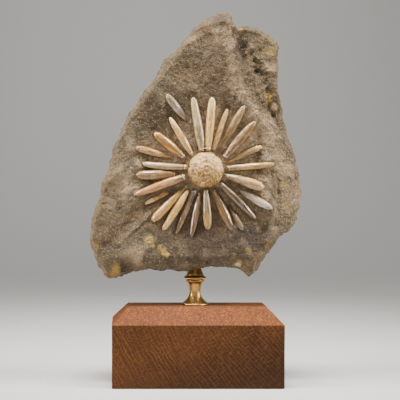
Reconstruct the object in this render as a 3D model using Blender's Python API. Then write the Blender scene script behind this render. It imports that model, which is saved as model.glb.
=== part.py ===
"""Fossil sea urchin on an upright slab of matrix stone, held by a turned brass post on a wooden block.

World frame: origin at the centre of the block's underside, +X to the viewer's right, -Y towards the
viewer, +Z up. Sizes below are in millimetres and become metres where a mesh is made.
"""
import math
from collections import namedtuple

import bpy
import bmesh
from mathutils import Vector, noise

MM = 0.001
GAP = 0.3               # clearance left between two pieces that touch

# Wooden block: a plain box whose four top edges carry one wide chamfer.
BLOCK_WIDTH = 141.0
BLOCK_DEPTH = 54.0
BLOCK_HEIGHT = 66.0
CHAMFER_ACROSS = 13.5   # how far the chamfer runs in from the side
CHAMFER_DOWN = 14.0     # how far it comes down from the flat top
EDGE_ROUND = 0.8        # softened edge left by sanding

# Brass post: (height above the block, radius) up the turned outline.
POST_X = -1.0
POST_SEGMENTS = 18
POST_OUTLINE = [
    (0.0, 11.0), (0.9, 11.0),                 # flange on the block
    (2.3, 9.2), (4.3, 7.0), (6.2, 5.6),       # flare
    (9.4, 4.6),                               # waist
    (14.0, 5.3), (17.6, 6.3), (18.9, 7.6),    # upper flare
    (20.4, 7.7), (20.8, 8.3),                 # lower ring
    (22.2, 9.4), (23.7, 8.3),                 # upper ring
    (24.3, 7.1), (25.4, 6.8),                 # groove and shoulder
    (29.5, 5.2), (32.4, 5.0),                 # ferrule, let into the stone
    (32.4, 2.8), (45.4, 2.8),                 # pin
]
FERRULE_START = 25.4    # height from which the hole in the stone follows the outline
PIN_FOOT = 32.4

# Matrix slab: (x, z) of the broken outline, clockwise from the peak.
SLAB_CENTRE = (0.0, 182.0)
SLAB_OUTLINE = [
    (25, 309), (30, 301), (33, 297), (42, 298), (50, 296), (58.5, 290.5), (64, 286), (67.5, 281),
    (66, 272), (67, 262), (66, 251.5), (69, 236), (71, 223), (75, 209), (79, 199), (82, 188),
    (84.5, 177), (86, 160), (85.5, 148), (81, 134), (76, 127.5), (69, 123), (66, 118), (61, 111),
    (54, 102), (50.5, 96), (44, 89), (40, 93), (34, 97.5), (22, 98), (9, 98), (-1, 96), (-12, 95),
    (-22, 95.5), (-31.5, 94), (-40, 96), (-48, 95.5), (-55, 93), (-63, 89.5), (-71, 88.6), (-77, 91),
    (-82, 99), (-85, 109), (-88.5, 117), (-88.5, 130), (-85, 145), (-80, 156), (-79, 168),
    (-74, 179), (-70.5, 189), (-69.5, 197), (-63.5, 208), (-57, 224), (-50.5, 231.5), (-44, 243),
    (-38, 250), (-30, 263), (-25, 272), (-16.5, 278), (-12, 285), (-2, 296), (4, 302), (13, 306),
    (19, 308.5),
]
FRONT_RINGS = (0.1, 0.22, 0.34, 0.46, 0.58, 0.69, 0.79, 0.88, 0.955)
BACK_RINGS = (0.95, 0.84, 0.66, 0.44, 0.22)
FRONT_FACE = -20.0      # y of the front before anything is taken off
BACK_FACE = 19.0
RIM_FRONT = -5.0        # y of the rim's two edges
RIM_BACK = 6.0
RIM_BACK_SHARE = 0.995  # the rim's rear edge lies a hair inside its front edge
DEEPEST_CHIP = 11.0

# Faces knocked off the slab: beyond the point (x, z) the surface falls away along the angle, in
# degrees anticlockwise from +X, by the slope in mm for each mm.
Chip = namedtuple("Chip", "x z angle slope")
FRONT_CHIPS = [
    Chip(17.0, 298.0, 78.0, 0.9),       # bevel round the peak
    Chip(36.0, 270.0, 5.0, 0.16),       # broken face right of the crest
    Chip(50.0, 288.0, 66.0, 0.6),       # top right edge
    Chip(54.5, 222.0, 43.0, 0.16),      # shoulder running down to the right
    Chip(77.0, 160.0, 0.0, 0.7),        # right edge
    Chip(61.0, 122.0, -37.0, 0.6),      # lower right edge
    Chip(0.0, 108.0, -90.0, 0.35),      # underside
    Chip(-79.0, 108.0, -153.0, 0.6),    # lower left corner
    Chip(-75.0, 166.0, 163.0, 0.6),     # left edge
    Chip(-31.0, 252.0, 143.0, 0.8),     # upper left edge
]
BACK_CHIPS = [
    Chip(28.0, 190.0, 4.0, 0.22),
    Chip(-34.0, 180.0, 176.0, 0.2),
    Chip(5.0, 238.0, 84.0, 0.22),
    Chip(-25.0, 232.0, 146.0, 0.5),
    Chip(0.0, 125.0, -86.0, 0.28),
    Chip(48.0, 130.0, -40.0, 0.5),
]

# Rounded crests (plus) and gullies (minus) on the front, along the line from (x1, z1) to (x2, z2).
Swell = namedtuple("Swell", "x1 z1 x2 z2 width height")
FRONT_SWELLS = [
    Swell(31, 295, 30, 264, 6, 3.2),        # crest below the notch
    Swell(30, 264, 37, 242, 6, 3.2),
    Swell(37, 242, 55, 221, 9, 1.3),
    Swell(55, 221, 74, 200, 9, 1.6),
    Swell(35, 286, 37, 269, 5.5, -2.8),     # gully beside the crest
    Swell(47, 263, 54, 250, 5, -2.2),
    Swell(57, 244, 59, 222, 4, -1.8),
    Swell(60, 147, 63, 138, 5, 2.2),        # lip at the lower right
    Swell(63, 128, 57, 120, 5, 2.0),
    Swell(46, 137, 52, 130, 8, -2.6),
    Swell(40, 113, 44, 101, 8, 2.6),        # mound over the lower right point
    Swell(-59, 119, -43, 138, 8, 1.1),      # slanting folds at the lower left
    Swell(-73, 117, -57, 137, 8, -1.0),
    Swell(-70, 172, -52, 181, 7, 1.8),
    Swell(-58, 101, -54, 104, 6, -2.6),
]
BOWL_CENTRE = (2.0, 181.0)   # shallow hollow cleared round the fossil
BOWL_RADIUS = (42.0, 66.0)   # its floor and its brim
BOWL_DEPTH = 3.0
LUMP_SIZE = 24.0             # broad unevenness of the broken stone
LUMP_HEIGHT = 1.3
BREAK_LUMPS = 2.0            # how much rougher the rim and the back are
FRONT_SEED = 3.7             # where each surface reads the unevenness
BACK_SEED = 11.3
RIM_FRONT_SEED = 20.1
RIM_BACK_SEED = 27.9

# Test of the urchin: a low dome with ten lobes, its underside sunk in the matrix.
TEST_X = 6.2
TEST_Z = 178.6
TEST_RADIUS = 14.7
TEST_PROUD = 13.0
TEST_SUNK = 4.5
TEST_LOBES = 10
TEST_LOBE_DEPTH = 0.02
TEST_FULLNESS = 0.85    # below 1 the dome is fuller than a ball
TEST_POINTS = 30
TEST_ANGLES = (12, 27, 43, 58, 74, 92, 114, 144)   # degrees from the front pole

# Spines, clockwise from the loose one at the upper left. Each is a straight club: the places of its
# tip and base in (x, z), greatest diameter, width of its base and tip as shares of that, where it is
# widest from base (0) to tip (1), how far the axis stands out of the stone at each end, and shade.
Spine = namedtuple("Spine", "tip base diameter neck widest point base_out tip_out shade")
SPINES = [
    Spine((-26.2, 240.0), (-9.2, 219.0), 6.6, 0.50, 0.58, 0.72, -2.2, 1.4, "grey"),
    Spine((-4.3, 237.8), (3.1, 194.4), 7.7, 0.52, 0.32, 0.62, 2.6, 2.0, "grey"),
    Spine((11.4, 237.8), (7.9, 195.0), 7.1, 0.62, 0.52, 0.80, 3.0, 2.2, "cream"),
    Spine((24.0, 228.4), (13.0, 195.4), 4.7, 0.55, 0.45, 0.72, 1.0, 1.2, "tan"),
    Spine((37.7, 231.4), (18.5, 195.4), 6.8, 0.45, 0.55, 0.55, -1.6, 0.2, "grey"),
    Spine((46.3, 218.2), (21.5, 188.6), 8.1, 0.50, 0.52, 0.55, 1.8, 1.8, "brown"),
    Spine((52.4, 197.8), (23.7, 184.4), 4.9, 0.38, 0.84, 0.86, 0.0, 1.2, "tan"),
    Spine((62.5, 183.2), (23.9, 179.9), 5.2, 0.80, 0.52, 0.80, 2.0, 1.6, "tan"),
    Spine((54.2, 164.0), (22.9, 174.2), 8.5, 0.34, 0.72, 0.72, 1.8, 2.8, "tan"),
    Spine((60.4, 147.0), (33.7, 162.0), 6.8, 0.34, 0.62, 0.50, -1.2, 1.6, "grey"),
    Spine((47.5, 138.5), (18.1, 167.7), 6.6, 0.48, 0.50, 0.40, 3.6, 1.0, "grey"),
    Spine((36.6, 129.4), (25.1, 149.7), 5.1, 0.50, 0.55, 0.72, -0.6, 0.8, "tan"),
    Spine((28.2, 128.7), (13.1, 161.8), 8.0, 0.66, 0.60, 0.55, 0.4, -0.9, "brown"),
    Spine((8.3, 129.7), (6.5, 161.8), 7.2, 0.50, 0.60, 0.78, 1.8, 1.6, "tan"),
    Spine((-5.4, 124.3), (1.7, 159.2), 6.2, 0.60, 0.45, 0.45, 0.4, 0.8, "brown"),
    Spine((-18.0, 126.5), (-2.6, 162.2), 5.4, 0.60, 0.58, 0.50, 1.4, 0.2, "grey"),
    Spine((-28.7, 129.5), (-8.6, 161.4), 6.5, 0.40, 0.42, 0.60, 2.2, 1.6, "cream"),
    Spine((-37.6, 136.8), (-9.0, 166.0), 7.2, 0.38, 0.78, 0.84, 1.2, 2.2, "cream"),
    Spine((-43.6, 151.0), (-22.6, 161.2), 4.2, 0.50, 0.60, 0.72, -0.8, 0.9, "grey"),
    Spine((-52.5, 158.1), (-10.7, 173.1), 7.5, 0.64, 0.36, 0.52, 3.0, 2.4, "brown"),
    Spine((-50.8, 174.4), (-18.1, 175.7), 8.8, 0.42, 0.58, 0.72, 1.0, 1.4, "brown"),
    Spine((-45.6, 183.8), (-9.4, 181.0), 5.9, 0.62, 0.50, 0.66, 2.4, 1.4, "grey"),
    Spine((-50.9, 196.8), (-20.8, 188.8), 5.9, 0.32, 0.68, 0.82, -0.6, 2.0, "cream"),
    Spine((-36.1, 209.2), (-11.1, 188.9), 8.1, 0.36, 0.55, 0.62, 1.6, 1.6, "tan"),
    Spine((-23.3, 221.5), (-4.9, 190.8), 6.2, 0.38, 0.40, 0.52, 2.6, 1.8, "cream"),
]
SPINE_SIDES = 8
SPINE_STATIONS = (0.0, 0.06, 0.19, 0.36, 0.54, 0.72, 0.87, 0.96)
ROUND_END = 0.1         # share of the length over which the tip rounds off
BASE_DOME = 0.15        # bulge of the base, as a share of the neck's thickness


def smooth_step(low, high, value):
    """0 below low, 1 above high, an S curve between."""
    share = min(max((value - low) / (high - low), 0.0), 1.0)
    return share * share * (3.0 - 2.0 * share)


def distance_to_line(x, z, swell):
    """Distance from (x, z) to the swell's line segment."""
    run_x = swell.x2 - swell.x1
    run_z = swell.z2 - swell.z1
    share = ((x - swell.x1) * run_x + (z - swell.z1) * run_z) / (run_x**2 + run_z**2)
    share = min(max(share, 0.0), 1.0)
    return math.hypot(x - swell.x1 - share * run_x, z - swell.z1 - share * run_z)


def chipped_depth(x, z, chips):
    """How much the deepest chip takes off at (x, z)."""
    depth = 0.0
    for chip in chips:
        angle = math.radians(chip.angle)
        beyond = (x - chip.x) * math.cos(angle) + (z - chip.z) * math.sin(angle)
        depth = max(depth, chip.slope * beyond)
    return min(depth, DEEPEST_CHIP)


def lumps(x, z, seed):
    """Broad, even unevenness of the stone, the same each time for the same place."""
    return LUMP_HEIGHT * noise.noise(Vector((x / LUMP_SIZE, seed, z / LUMP_SIZE)))


def front_y(x, z):
    """y of the slab's front face."""
    from_bowl = math.hypot(x - BOWL_CENTRE[0], z - BOWL_CENTRE[1])
    bowl = BOWL_DEPTH * (1.0 - smooth_step(*BOWL_RADIUS, from_bowl))
    heights = [swell.height * math.exp(-(distance_to_line(x, z, swell) / swell.width) ** 2)
               for swell in FRONT_SWELLS]
    swollen = max(0.0, *heights) + min(0.0, *heights)
    return FRONT_FACE + bowl + chipped_depth(x, z, FRONT_CHIPS) - swollen + lumps(x, z, FRONT_SEED)


def back_y(x, z):
    """y of the slab's back face, a plain break."""
    return BACK_FACE - chipped_depth(x, z, BACK_CHIPS) + BREAK_LUMPS * lumps(x, z, BACK_SEED)


def srgb(red, green, blue):
    """Linear RGBA from 8-bit sRGB."""
    values = []
    for channel in (red, green, blue):
        share = channel / 255.0
        values.append(share / 12.92 if share <= 0.04045 else ((share + 0.055) / 1.055) ** 2.4)
    return (*values, 1.0)


def material(name, colour, roughness, metallic=0.0):
    """A Principled material with one colour."""
    made = bpy.data.materials.new(name)
    made.use_nodes = True
    shader = made.node_tree.nodes["Principled BSDF"]
    shader.inputs["Base Color"].default_value = colour
    shader.inputs["Roughness"].default_value = roughness
    shader.inputs["Metallic"].default_value = metallic
    made.diffuse_color = colour
    return made


def skin(name, rings, first_pole=None, last_pole=None):
    """A closed body over a stack of equal rings, each end fanned to its pole or capped flat."""
    mesh_data = bmesh.new()
    made = [[mesh_data.verts.new(Vector(point) * MM) for point in ring] for ring in rings]
    count = len(made[0])
    for low, high in zip(made, made[1:]):
        for index in range(count):
            after = (index + 1) % count
            mesh_data.faces.new((low[index], low[after], high[after], high[index]))
    for ring, pole in ((made[0], first_pole), (made[-1], last_pole)):
        if pole is None:
            mesh_data.faces.new(ring)
            continue
        tip = mesh_data.verts.new(Vector(pole) * MM)
        for index in range(count):
            mesh_data.faces.new((ring[index], ring[(index + 1) % count], tip))
    bmesh.ops.recalc_face_normals(mesh_data, faces=mesh_data.faces)
    mesh = bpy.data.meshes.new(name)
    mesh_data.to_mesh(mesh)
    mesh_data.free()
    made_object = bpy.data.objects.new(name, mesh)
    bpy.context.scene.collection.objects.link(made_object)
    return made_object


def shade_round(body, sharp_degrees):
    """Smooth shading that keeps edges sharper than the angle."""
    body.data.shade_smooth()
    body.data.set_sharp_from_angle(angle=math.radians(sharp_degrees))


def as_cutter(body):
    """Marks a body as a hidden tool that only cuts."""
    body.hide_render = True
    body.display_type = "WIRE"
    return body


def cut(body, cutter):
    """Takes the cutter's shape out of the body."""
    modifier = body.modifiers.new(cutter.name, "BOOLEAN")
    modifier.operation = "DIFFERENCE"
    modifier.solver = "EXACT"
    modifier.object = cutter


def rectangle(half_width, half_depth, height):
    """The four corners of a level rectangle."""
    return [
        (-half_width, -half_depth, height),
        (half_width, -half_depth, height),
        (half_width, half_depth, height),
        (-half_width, half_depth, height),
    ]


def make_base_block(wood):
    """The wooden block with its chamfered top."""
    half_width = BLOCK_WIDTH / 2.0
    half_depth = BLOCK_DEPTH / 2.0
    rings = [
        rectangle(half_width, half_depth, 0.0),
        rectangle(half_width, half_depth, BLOCK_HEIGHT - CHAMFER_DOWN),
        rectangle(half_width - CHAMFER_ACROSS, half_depth - CHAMFER_ACROSS, BLOCK_HEIGHT),
    ]
    block = skin("base_block", rings)
    softened = block.modifiers.new("softened_edges", "BEVEL")
    softened.width = EDGE_ROUND * MM
    softened.segments = 1
    softened.limit_method = "ANGLE"
    softened.angle_limit = math.radians(20.0)
    block.data.materials.append(wood)


def turned(name, outline, foot):
    """A body turned round a vertical axis at POST_X from (height, radius) pairs above the foot."""
    rings = []
    for height, radius in outline:
        ring = []
        for index in range(POST_SEGMENTS):
            angle = 2.0 * math.pi * index / POST_SEGMENTS
            ring.append((POST_X + radius * math.cos(angle), radius * math.sin(angle), foot + height))
        rings.append(ring)
    return skin(name, rings)


def make_brass_post(brass):
    """The turned post, standing on the block with its pin up in the stone."""
    post = turned("brass_post", POST_OUTLINE, BLOCK_HEIGHT + GAP)
    shade_round(post, 35.0)
    post.data.materials.append(brass)


def make_pin_hole():
    """Cutter for the hole in the slab's underside: the ferrule and pin with their clearance."""
    outline = []
    for height, radius in POST_OUTLINE:
        if height >= FERRULE_START:
            headroom = GAP if height >= PIN_FOOT else 0.0
            outline.append((height + headroom, radius + GAP))
    return as_cutter(turned("cutter_pin_hole", outline, BLOCK_HEIGHT + GAP))


def slab_ring(share, height_at):
    """The outline drawn in towards the slab's centre, with its y from height_at(x, z)."""
    ring = []
    for outline_x, outline_z in SLAB_OUTLINE:
        x = SLAB_CENTRE[0] + share * (outline_x - SLAB_CENTRE[0])
        z = SLAB_CENTRE[1] + share * (outline_z - SLAB_CENTRE[1])
        ring.append((x, height_at(x, z), z))
    return ring


def make_matrix_slab(stone, cutters):
    """The broken slab of rock, with a socket for each piece that sits in it."""
    centre_x, centre_z = SLAB_CENTRE
    rings = [slab_ring(share, front_y) for share in FRONT_RINGS]
    rings.append(slab_ring(1.0, lambda x, z: RIM_FRONT + BREAK_LUMPS * lumps(x, z, RIM_FRONT_SEED)))
    rings.append(slab_ring(RIM_BACK_SHARE, lambda x, z: RIM_BACK + BREAK_LUMPS * lumps(x, z, RIM_BACK_SEED)))
    rings.extend(slab_ring(share, back_y) for share in BACK_RINGS)
    slab = skin(
        "matrix_slab",
        rings,
        (centre_x, front_y(centre_x, centre_z), centre_z),
        (centre_x, back_y(centre_x, centre_z), centre_z),
    )
    triangulate(slab)
    slab.data.materials.append(stone)
    for cutter in cutters:
        cut(slab, cutter)


def triangulate(body):
    """Splits every face into triangles, so that each one is flat."""
    mesh_data = bmesh.new()
    mesh_data.from_mesh(body.data)
    bmesh.ops.triangulate(mesh_data, faces=mesh_data.faces)
    mesh_data.to_mesh(body.data)
    mesh_data.free()


def test_body(name, grow):
    """The lobed dome and its sunk underside, grown outwards by grow."""
    seat_y = front_y(TEST_X, TEST_Z)
    rings = []
    for degrees in TEST_ANGLES:
        angle = math.radians(degrees)
        reach = TEST_PROUD if degrees < 90 else TEST_SUNK
        ring = []
        for index in range(TEST_POINTS):
            turn = 2.0 * math.pi * index / TEST_POINTS
            lobe = 1.0 + TEST_LOBE_DEPTH * math.cos(TEST_LOBES * turn)
            radius = (TEST_RADIUS * lobe + grow) * math.sin(angle) ** TEST_FULLNESS
            out = (reach + grow) * math.cos(angle)
            ring.append((TEST_X + radius * math.cos(turn), seat_y - out, TEST_Z + radius * math.sin(turn)))
        rings.append(ring)
    front_pole = (TEST_X, seat_y - TEST_PROUD - grow, TEST_Z)
    back_pole = (TEST_X, seat_y + TEST_SUNK + grow, TEST_Z)
    return skin(name, rings, front_pole, back_pole)


def make_urchin_test(calcite):
    """The urchin's test and the cutter for its seat in the matrix."""
    test = test_body("urchin_test", 0.0)
    shade_round(test, 60.0)
    test.data.materials.append(calcite)
    return as_cutter(test_body("cutter_urchin_test", GAP))


def spine_radius(spine, share):
    """Radius of a spine at a share of its length, from base (0) to tip (1)."""
    if share < spine.widest:
        fullness = math.sin(0.5 * math.pi * share / spine.widest)
        width = spine.neck + (1.0 - spine.neck) * fullness
    else:
        fullness = math.cos(0.5 * math.pi * (share - spine.widest) / (1.0 - spine.widest))
        width = spine.point + (1.0 - spine.point) * fullness
    into_end = max(0.0, (share - 1.0 + ROUND_END) / ROUND_END)
    return 0.5 * spine.diameter * width * math.sqrt(max(0.0, 1.0 - into_end**2))


def spine_body(name, spine, grow):
    """A spine lying in the slab's front face, grown outwards by grow."""
    ends = []
    for (x, z), out in ((spine.base, spine.base_out), (spine.tip, spine.tip_out)):
        ends.append(Vector((x, front_y(x, z) - out, z)))
    base, tip = ends
    along = (tip - base).normalized()
    across = along.cross(Vector((0.0, 1.0, 0.0))).normalized()
    outward = across.cross(along)
    length = (tip - base).length
    rings = []
    for share in SPINE_STATIONS:
        centre = base + along * (length * share)
        radius = spine_radius(spine, share) + grow
        ring = []
        for index in range(SPINE_SIDES):
            angle = 2.0 * math.pi * index / SPINE_SIDES
            ring.append(centre + radius * (math.cos(angle) * across + math.sin(angle) * outward))
        rings.append(ring)
    base_dome = BASE_DOME * spine.diameter * spine.neck
    return skin(name, rings, base - along * (base_dome + grow), tip + along * grow)


def make_spines(calcites):
    """All the spines, each in its shade of calcite, and the cutters for their sockets."""
    cutters = []
    for number, spine in enumerate(SPINES, start=1):
        body = spine_body(f"spine_{number:02d}", spine, 0.0)
        shade_round(body, 70.0)
        body.data.materials.append(calcites[spine.shade])
        cutters.append(as_cutter(spine_body(f"cutter_spine_{number:02d}", spine, GAP)))
    return cutters


def clear_scene():
    """Empties the scene of objects."""
    for old in list(bpy.data.objects):
        bpy.data.objects.remove(old, do_unlink=True)


def main():
    """Builds every piece."""
    clear_scene()
    wood = material("oiled_brown_wood", srgb(110, 72, 46), 0.5)
    brass = material("polished_brass", srgb(196, 152, 92), 0.22, metallic=1.0)
    stone = material("grey_brown_matrix", srgb(128, 110, 88), 0.9)
    shell = material("worn_test_calcite", srgb(196, 170, 138), 0.6)
    calcites = {
        "grey": material("grey_spine_calcite", srgb(158, 144, 124), 0.42),
        "cream": material("cream_spine_calcite", srgb(214, 186, 148), 0.45),
        "tan": material("tan_spine_calcite", srgb(188, 158, 122), 0.45),
        "brown": material("brown_spine_calcite", srgb(162, 126, 98), 0.45),
    }
    make_base_block(wood)
    make_brass_post(brass)
    cutters = make_spines(calcites)
    cutters.append(make_urchin_test(shell))
    cutters.append(make_pin_hole())
    make_matrix_slab(stone, cutters)


main()
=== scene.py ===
# %% [markdown]
# # A fossil sea urchin, mounted
# A round test and twenty-five club-shaped spines lie in an upright slab of matrix stone. A turned brass
# post carries the slab on a chamfered wooden block. This lesson dresses the plain solids: it keeps their
# sizes and places, and gives each piece its fine form and its finish.

# %% Load the plain solids
import math

import bpy
import numpy as np
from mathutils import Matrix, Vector, noise


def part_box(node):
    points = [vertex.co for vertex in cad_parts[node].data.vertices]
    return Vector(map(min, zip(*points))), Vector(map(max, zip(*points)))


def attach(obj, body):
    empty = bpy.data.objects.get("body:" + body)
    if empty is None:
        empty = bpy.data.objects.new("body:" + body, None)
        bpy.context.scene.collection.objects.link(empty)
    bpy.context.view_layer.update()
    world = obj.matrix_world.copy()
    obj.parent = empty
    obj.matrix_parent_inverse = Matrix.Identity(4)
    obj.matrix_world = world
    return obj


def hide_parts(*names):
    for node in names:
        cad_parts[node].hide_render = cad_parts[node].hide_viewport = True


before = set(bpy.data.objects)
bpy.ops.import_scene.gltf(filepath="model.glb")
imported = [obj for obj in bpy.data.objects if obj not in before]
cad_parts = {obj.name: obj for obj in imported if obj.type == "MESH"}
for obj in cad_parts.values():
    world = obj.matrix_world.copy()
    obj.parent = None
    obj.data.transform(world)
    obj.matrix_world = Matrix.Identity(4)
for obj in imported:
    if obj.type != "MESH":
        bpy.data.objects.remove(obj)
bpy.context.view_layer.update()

MM = 0.001

# %% [markdown]
# ## Camera, light and floor
# The specimen is seen straight on at the height of the urchin, from a little left of its middle. The
# camera keeps square to the block, so that the block's long edges stay level, and its lens is shifted to
# bring the specimen back into the middle. A long lens keeps the depth calm. Two soft boxes stand high on
# either side, with a narrow one overhead: they skim down over the stone and show its relief, and each
# spine gets a bright line along its upper edges. A strip on each side lights the rim, and a weak box in
# front opens the shadows. Two narrow beams put the bright streaks on the post. The floor curves up behind
# into a pale wall, which leaves no hard horizon.

# %% Camera
FRAME_PIXELS = 400
FOCAL_PIXELS = 1061.0
SENSOR_WIDTH = 36.0
CAMERA_PLACE = Vector((-0.0612, -0.887, 0.1786))
VIEW_DROP = math.radians(1.62)
SIDE_SHIFT = 0.192               # of the frame's width


def make_camera():
    """The camera, square to the block and looking slightly down."""
    lens = bpy.data.cameras.new("specimen_camera")
    lens.sensor_width = SENSOR_WIDTH
    lens.lens = SENSOR_WIDTH * FOCAL_PIXELS / FRAME_PIXELS
    lens.shift_x = SIDE_SHIFT
    camera = bpy.data.objects.new("specimen_camera", lens)
    bpy.context.scene.collection.objects.link(camera)
    camera.location = CAMERA_PLACE
    camera.rotation_euler = (math.pi / 2.0 - VIEW_DROP, 0.0, 0.0)
    bpy.context.scene.camera = camera
    print("camera at", tuple(round(value, 4) for value in camera.location))


make_camera()

# %% Lights
LIGHTS = {
    # name: place, what it faces, width, height, beam angle in degrees, watts, colour
    "left_softbox": ((-0.72, -0.36, 1.2), (0.0, 0.0, 0.17), 0.4, 0.4, 50.0, 1.52, (1.0, 0.97, 0.92)),
    "right_softbox": ((0.78, -0.34, 1.2), (0.0, 0.0, 0.17), 0.4, 0.4, 50.0, 1.52, (1.0, 0.97, 0.92)),
    "left_strip": ((-0.98, -0.2, 0.45), (0.0, 0.0, 0.2), 0.12, 0.9, 50.0, 1.52, (1.0, 0.94, 0.84)),
    "right_strip": ((0.98, -0.2, 0.45), (0.0, 0.0, 0.2), 0.12, 0.9, 50.0, 1.52, (1.0, 0.94, 0.84)),
    "overhead": ((-0.05, -0.34, 1.5), (0.0, 0.0, 0.1), 0.5, 0.12, 40.0, 2.0, (1.0, 0.98, 0.94)),
    "front_fill": ((-0.2, -1.5, 0.62), (0.0, 0.0, 0.17), 0.8, 0.8, 60.0, 0.55, (1.0, 0.98, 0.95)),
    "left_glint": ((-0.85, -0.35, 0.42), (0.0, -0.005, 0.06), 0.07, 0.24, 7.0, 0.032, (1.0, 0.95, 0.86)),
    "right_glint": ((0.85, -0.35, 0.42), (0.0, -0.005, 0.06), 0.07, 0.24, 7.0, 0.032, (1.0, 0.95, 0.86)),
    "wall_wash": ((0.0, 0.2, 1.7), (0.0, 1.6, 0.3), 0.8, 0.8, 120.0, 12.0, (1.0, 0.99, 0.97)),
}
WORLD_COLOUR = (0.86, 0.88, 0.9, 1.0)
WORLD_STRENGTH = 0.06


def make_lights():
    """Soft boxes on the specimen, two glints on the post, one lamp for the wall, and a pale surround."""
    for name, (place, facing, width, height, beam, watts, colour) in LIGHTS.items():
        lamp = bpy.data.lights.new(name, "AREA")
        lamp.shape = "RECTANGLE"
        lamp.size = width
        lamp.size_y = height
        lamp.spread = math.radians(beam)
        lamp.energy = watts
        lamp.color = colour
        holder = bpy.data.objects.new(name, lamp)
        bpy.context.scene.collection.objects.link(holder)
        holder.location = place
        holder.rotation_euler = (Vector(facing) - Vector(place)).to_track_quat("-Z", "Y").to_euler()
    world = bpy.data.worlds.new("pale_surround")
    world.use_nodes = True
    background = world.node_tree.nodes["Background"]
    background.inputs["Color"].default_value = WORLD_COLOUR
    background.inputs["Strength"].default_value = WORLD_STRENGTH
    bpy.context.scene.world = world
    print("lights:", ", ".join(LIGHTS))


make_lights()

# %% Floor and back wall
FLOOR_HALF_WIDTH = 3.0
FLOOR_FRONT = -2.5
SWEEP_START = 0.9
SWEEP_RADIUS = 0.8
WALL_TOP = 3.0
SWEEP_STEPS = 24
FLOOR_COLOUR = (0.56, 0.55, 0.53, 1.0)
FLOOR_ROUGHNESS = 0.85


def make_floor():
    """One sheet: level floor, a quarter circle, then a wall."""
    profile = [(FLOOR_FRONT, 0.0)]
    for step in range(SWEEP_STEPS + 1):
        angle = 0.5 * math.pi * step / SWEEP_STEPS
        profile.append((
            SWEEP_START + SWEEP_RADIUS * math.sin(angle),
            SWEEP_RADIUS * (1.0 - math.cos(angle)),
        ))
    profile.append((SWEEP_START + SWEEP_RADIUS, WALL_TOP))
    points = [(side * FLOOR_HALF_WIDTH, y, z) for y, z in profile for side in (-1.0, 1.0)]
    faces = [(2 * row, 2 * row + 1, 2 * row + 3, 2 * row + 2) for row in range(len(profile) - 1)]
    mesh = bpy.data.meshes.new("studio_floor")
    mesh.from_pydata(points, [], faces)
    mesh.shade_smooth()
    floor = bpy.data.objects.new("studio_floor", mesh)
    bpy.context.scene.collection.objects.link(floor)
    paper = bpy.data.materials.new("pale_paper")
    paper.use_nodes = True
    shader = paper.node_tree.nodes["Principled BSDF"]
    shader.inputs["Base Color"].default_value = FLOOR_COLOUR
    shader.inputs["Roughness"].default_value = FLOOR_ROUGHNESS
    mesh.materials.append(paper)
    print("floor sheet with", len(faces), "faces")


make_floor()

# %% [markdown]
# ## Helpers for meshes
# Every piece but the block is a closed skin over a stack of rings: rings of the broken outline for the
# slab, of a dome for the test, of a shaft for each spine. One function turns such a stack into a mesh.
# Others move its points and give each of them a value that the materials read, such as how deep it lies
# in a hollow. The unevenness comes from a noise that gives the same value at the same place each time, so
# the lesson makes the same specimen on every run.


# %% A skin over rings
def closed_skin(name, rings, first_pole, last_pole):
    """A mesh object over rings (rows, points, xyz) in millimetres, fanned to a pole at each end."""
    rows, count = rings.shape[:2]
    points = np.vstack([rings.reshape(-1, 3), [first_pole, last_pole]]) * MM
    index = np.arange(rows * count).reshape(rows, count)
    after = np.roll(index, -1, axis=1)
    quads = np.stack([index[:-1], after[:-1], after[1:], index[1:]], axis=-1).reshape(-1, 4)
    first_fan = [(int(a), int(b), rows * count) for a, b in zip(after[0], index[0])]
    last_fan = [(int(a), int(b), rows * count + 1) for a, b in zip(index[-1], after[-1])]
    mesh = bpy.data.meshes.new(name)
    mesh.from_pydata(points.tolist(), [], quads.tolist() + first_fan + last_fan)
    mesh.shade_smooth()
    made = bpy.data.objects.new(name, mesh)
    bpy.context.scene.collection.objects.link(made)
    return made


print("helper: closed_skin")


# %% Points and the values they carry
def places(mesh):
    """The mesh's points in millimetres, as rows of x, y, z."""
    flat = np.zeros(len(mesh.vertices) * 3)
    mesh.vertices.foreach_get("co", flat)
    return flat.reshape(-1, 3) / MM


def normals(mesh):
    """The mesh's point normals, as rows of x, y, z."""
    flat = np.zeros(len(mesh.vertices) * 3)
    mesh.vertex_normals.foreach_get("vector", flat)
    return flat.reshape(-1, 3)


def put(mesh, points):
    """Moves the mesh's points to these places in millimetres."""
    mesh.vertices.foreach_set("co", (points * MM).ravel())
    mesh.update()


def point_value(mesh, name, values):
    """Stores one number for each point, for the materials."""
    mesh.attributes.new(name, "FLOAT", "POINT").data.foreach_set("value", np.asarray(values, np.float32))


def point_vector(mesh, name, vectors):
    """Stores one vector for each point, for the materials."""
    store = mesh.attributes.new(name, "FLOAT_VECTOR", "POINT")
    store.data.foreach_set("vector", np.asarray(vectors, np.float32).ravel())


print("helpers: places, normals, put, point_value, point_vector")


# %% Noise, steps and bumps
def unevenness(points, size, octaves=1, seed=0.0):
    """Noise of about -1 to 1 at each point, with bumps of about this size in millimetres."""
    shift = Vector((seed, 2.3 * seed, -1.7 * seed))
    return np.array([
        noise.fractal(Vector(point) / size + shift, 1.0, 2.1, octaves) for point in points
    ])


def smooth_step(low, high, values):
    """0 below low, 1 above high, an S curve between."""
    share = np.clip((values - low) / (high - low), 0.0, 1.0)
    return share * share * (3.0 - 2.0 * share)


def bump_at(distance, width):
    """A rounded bump: 1 at no distance, near 0 past the width."""
    return np.exp(-(distance / width) ** 2)


print("a quarter of the way up the S curve:", float(smooth_step(0.0, 1.0, 0.25)))

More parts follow.
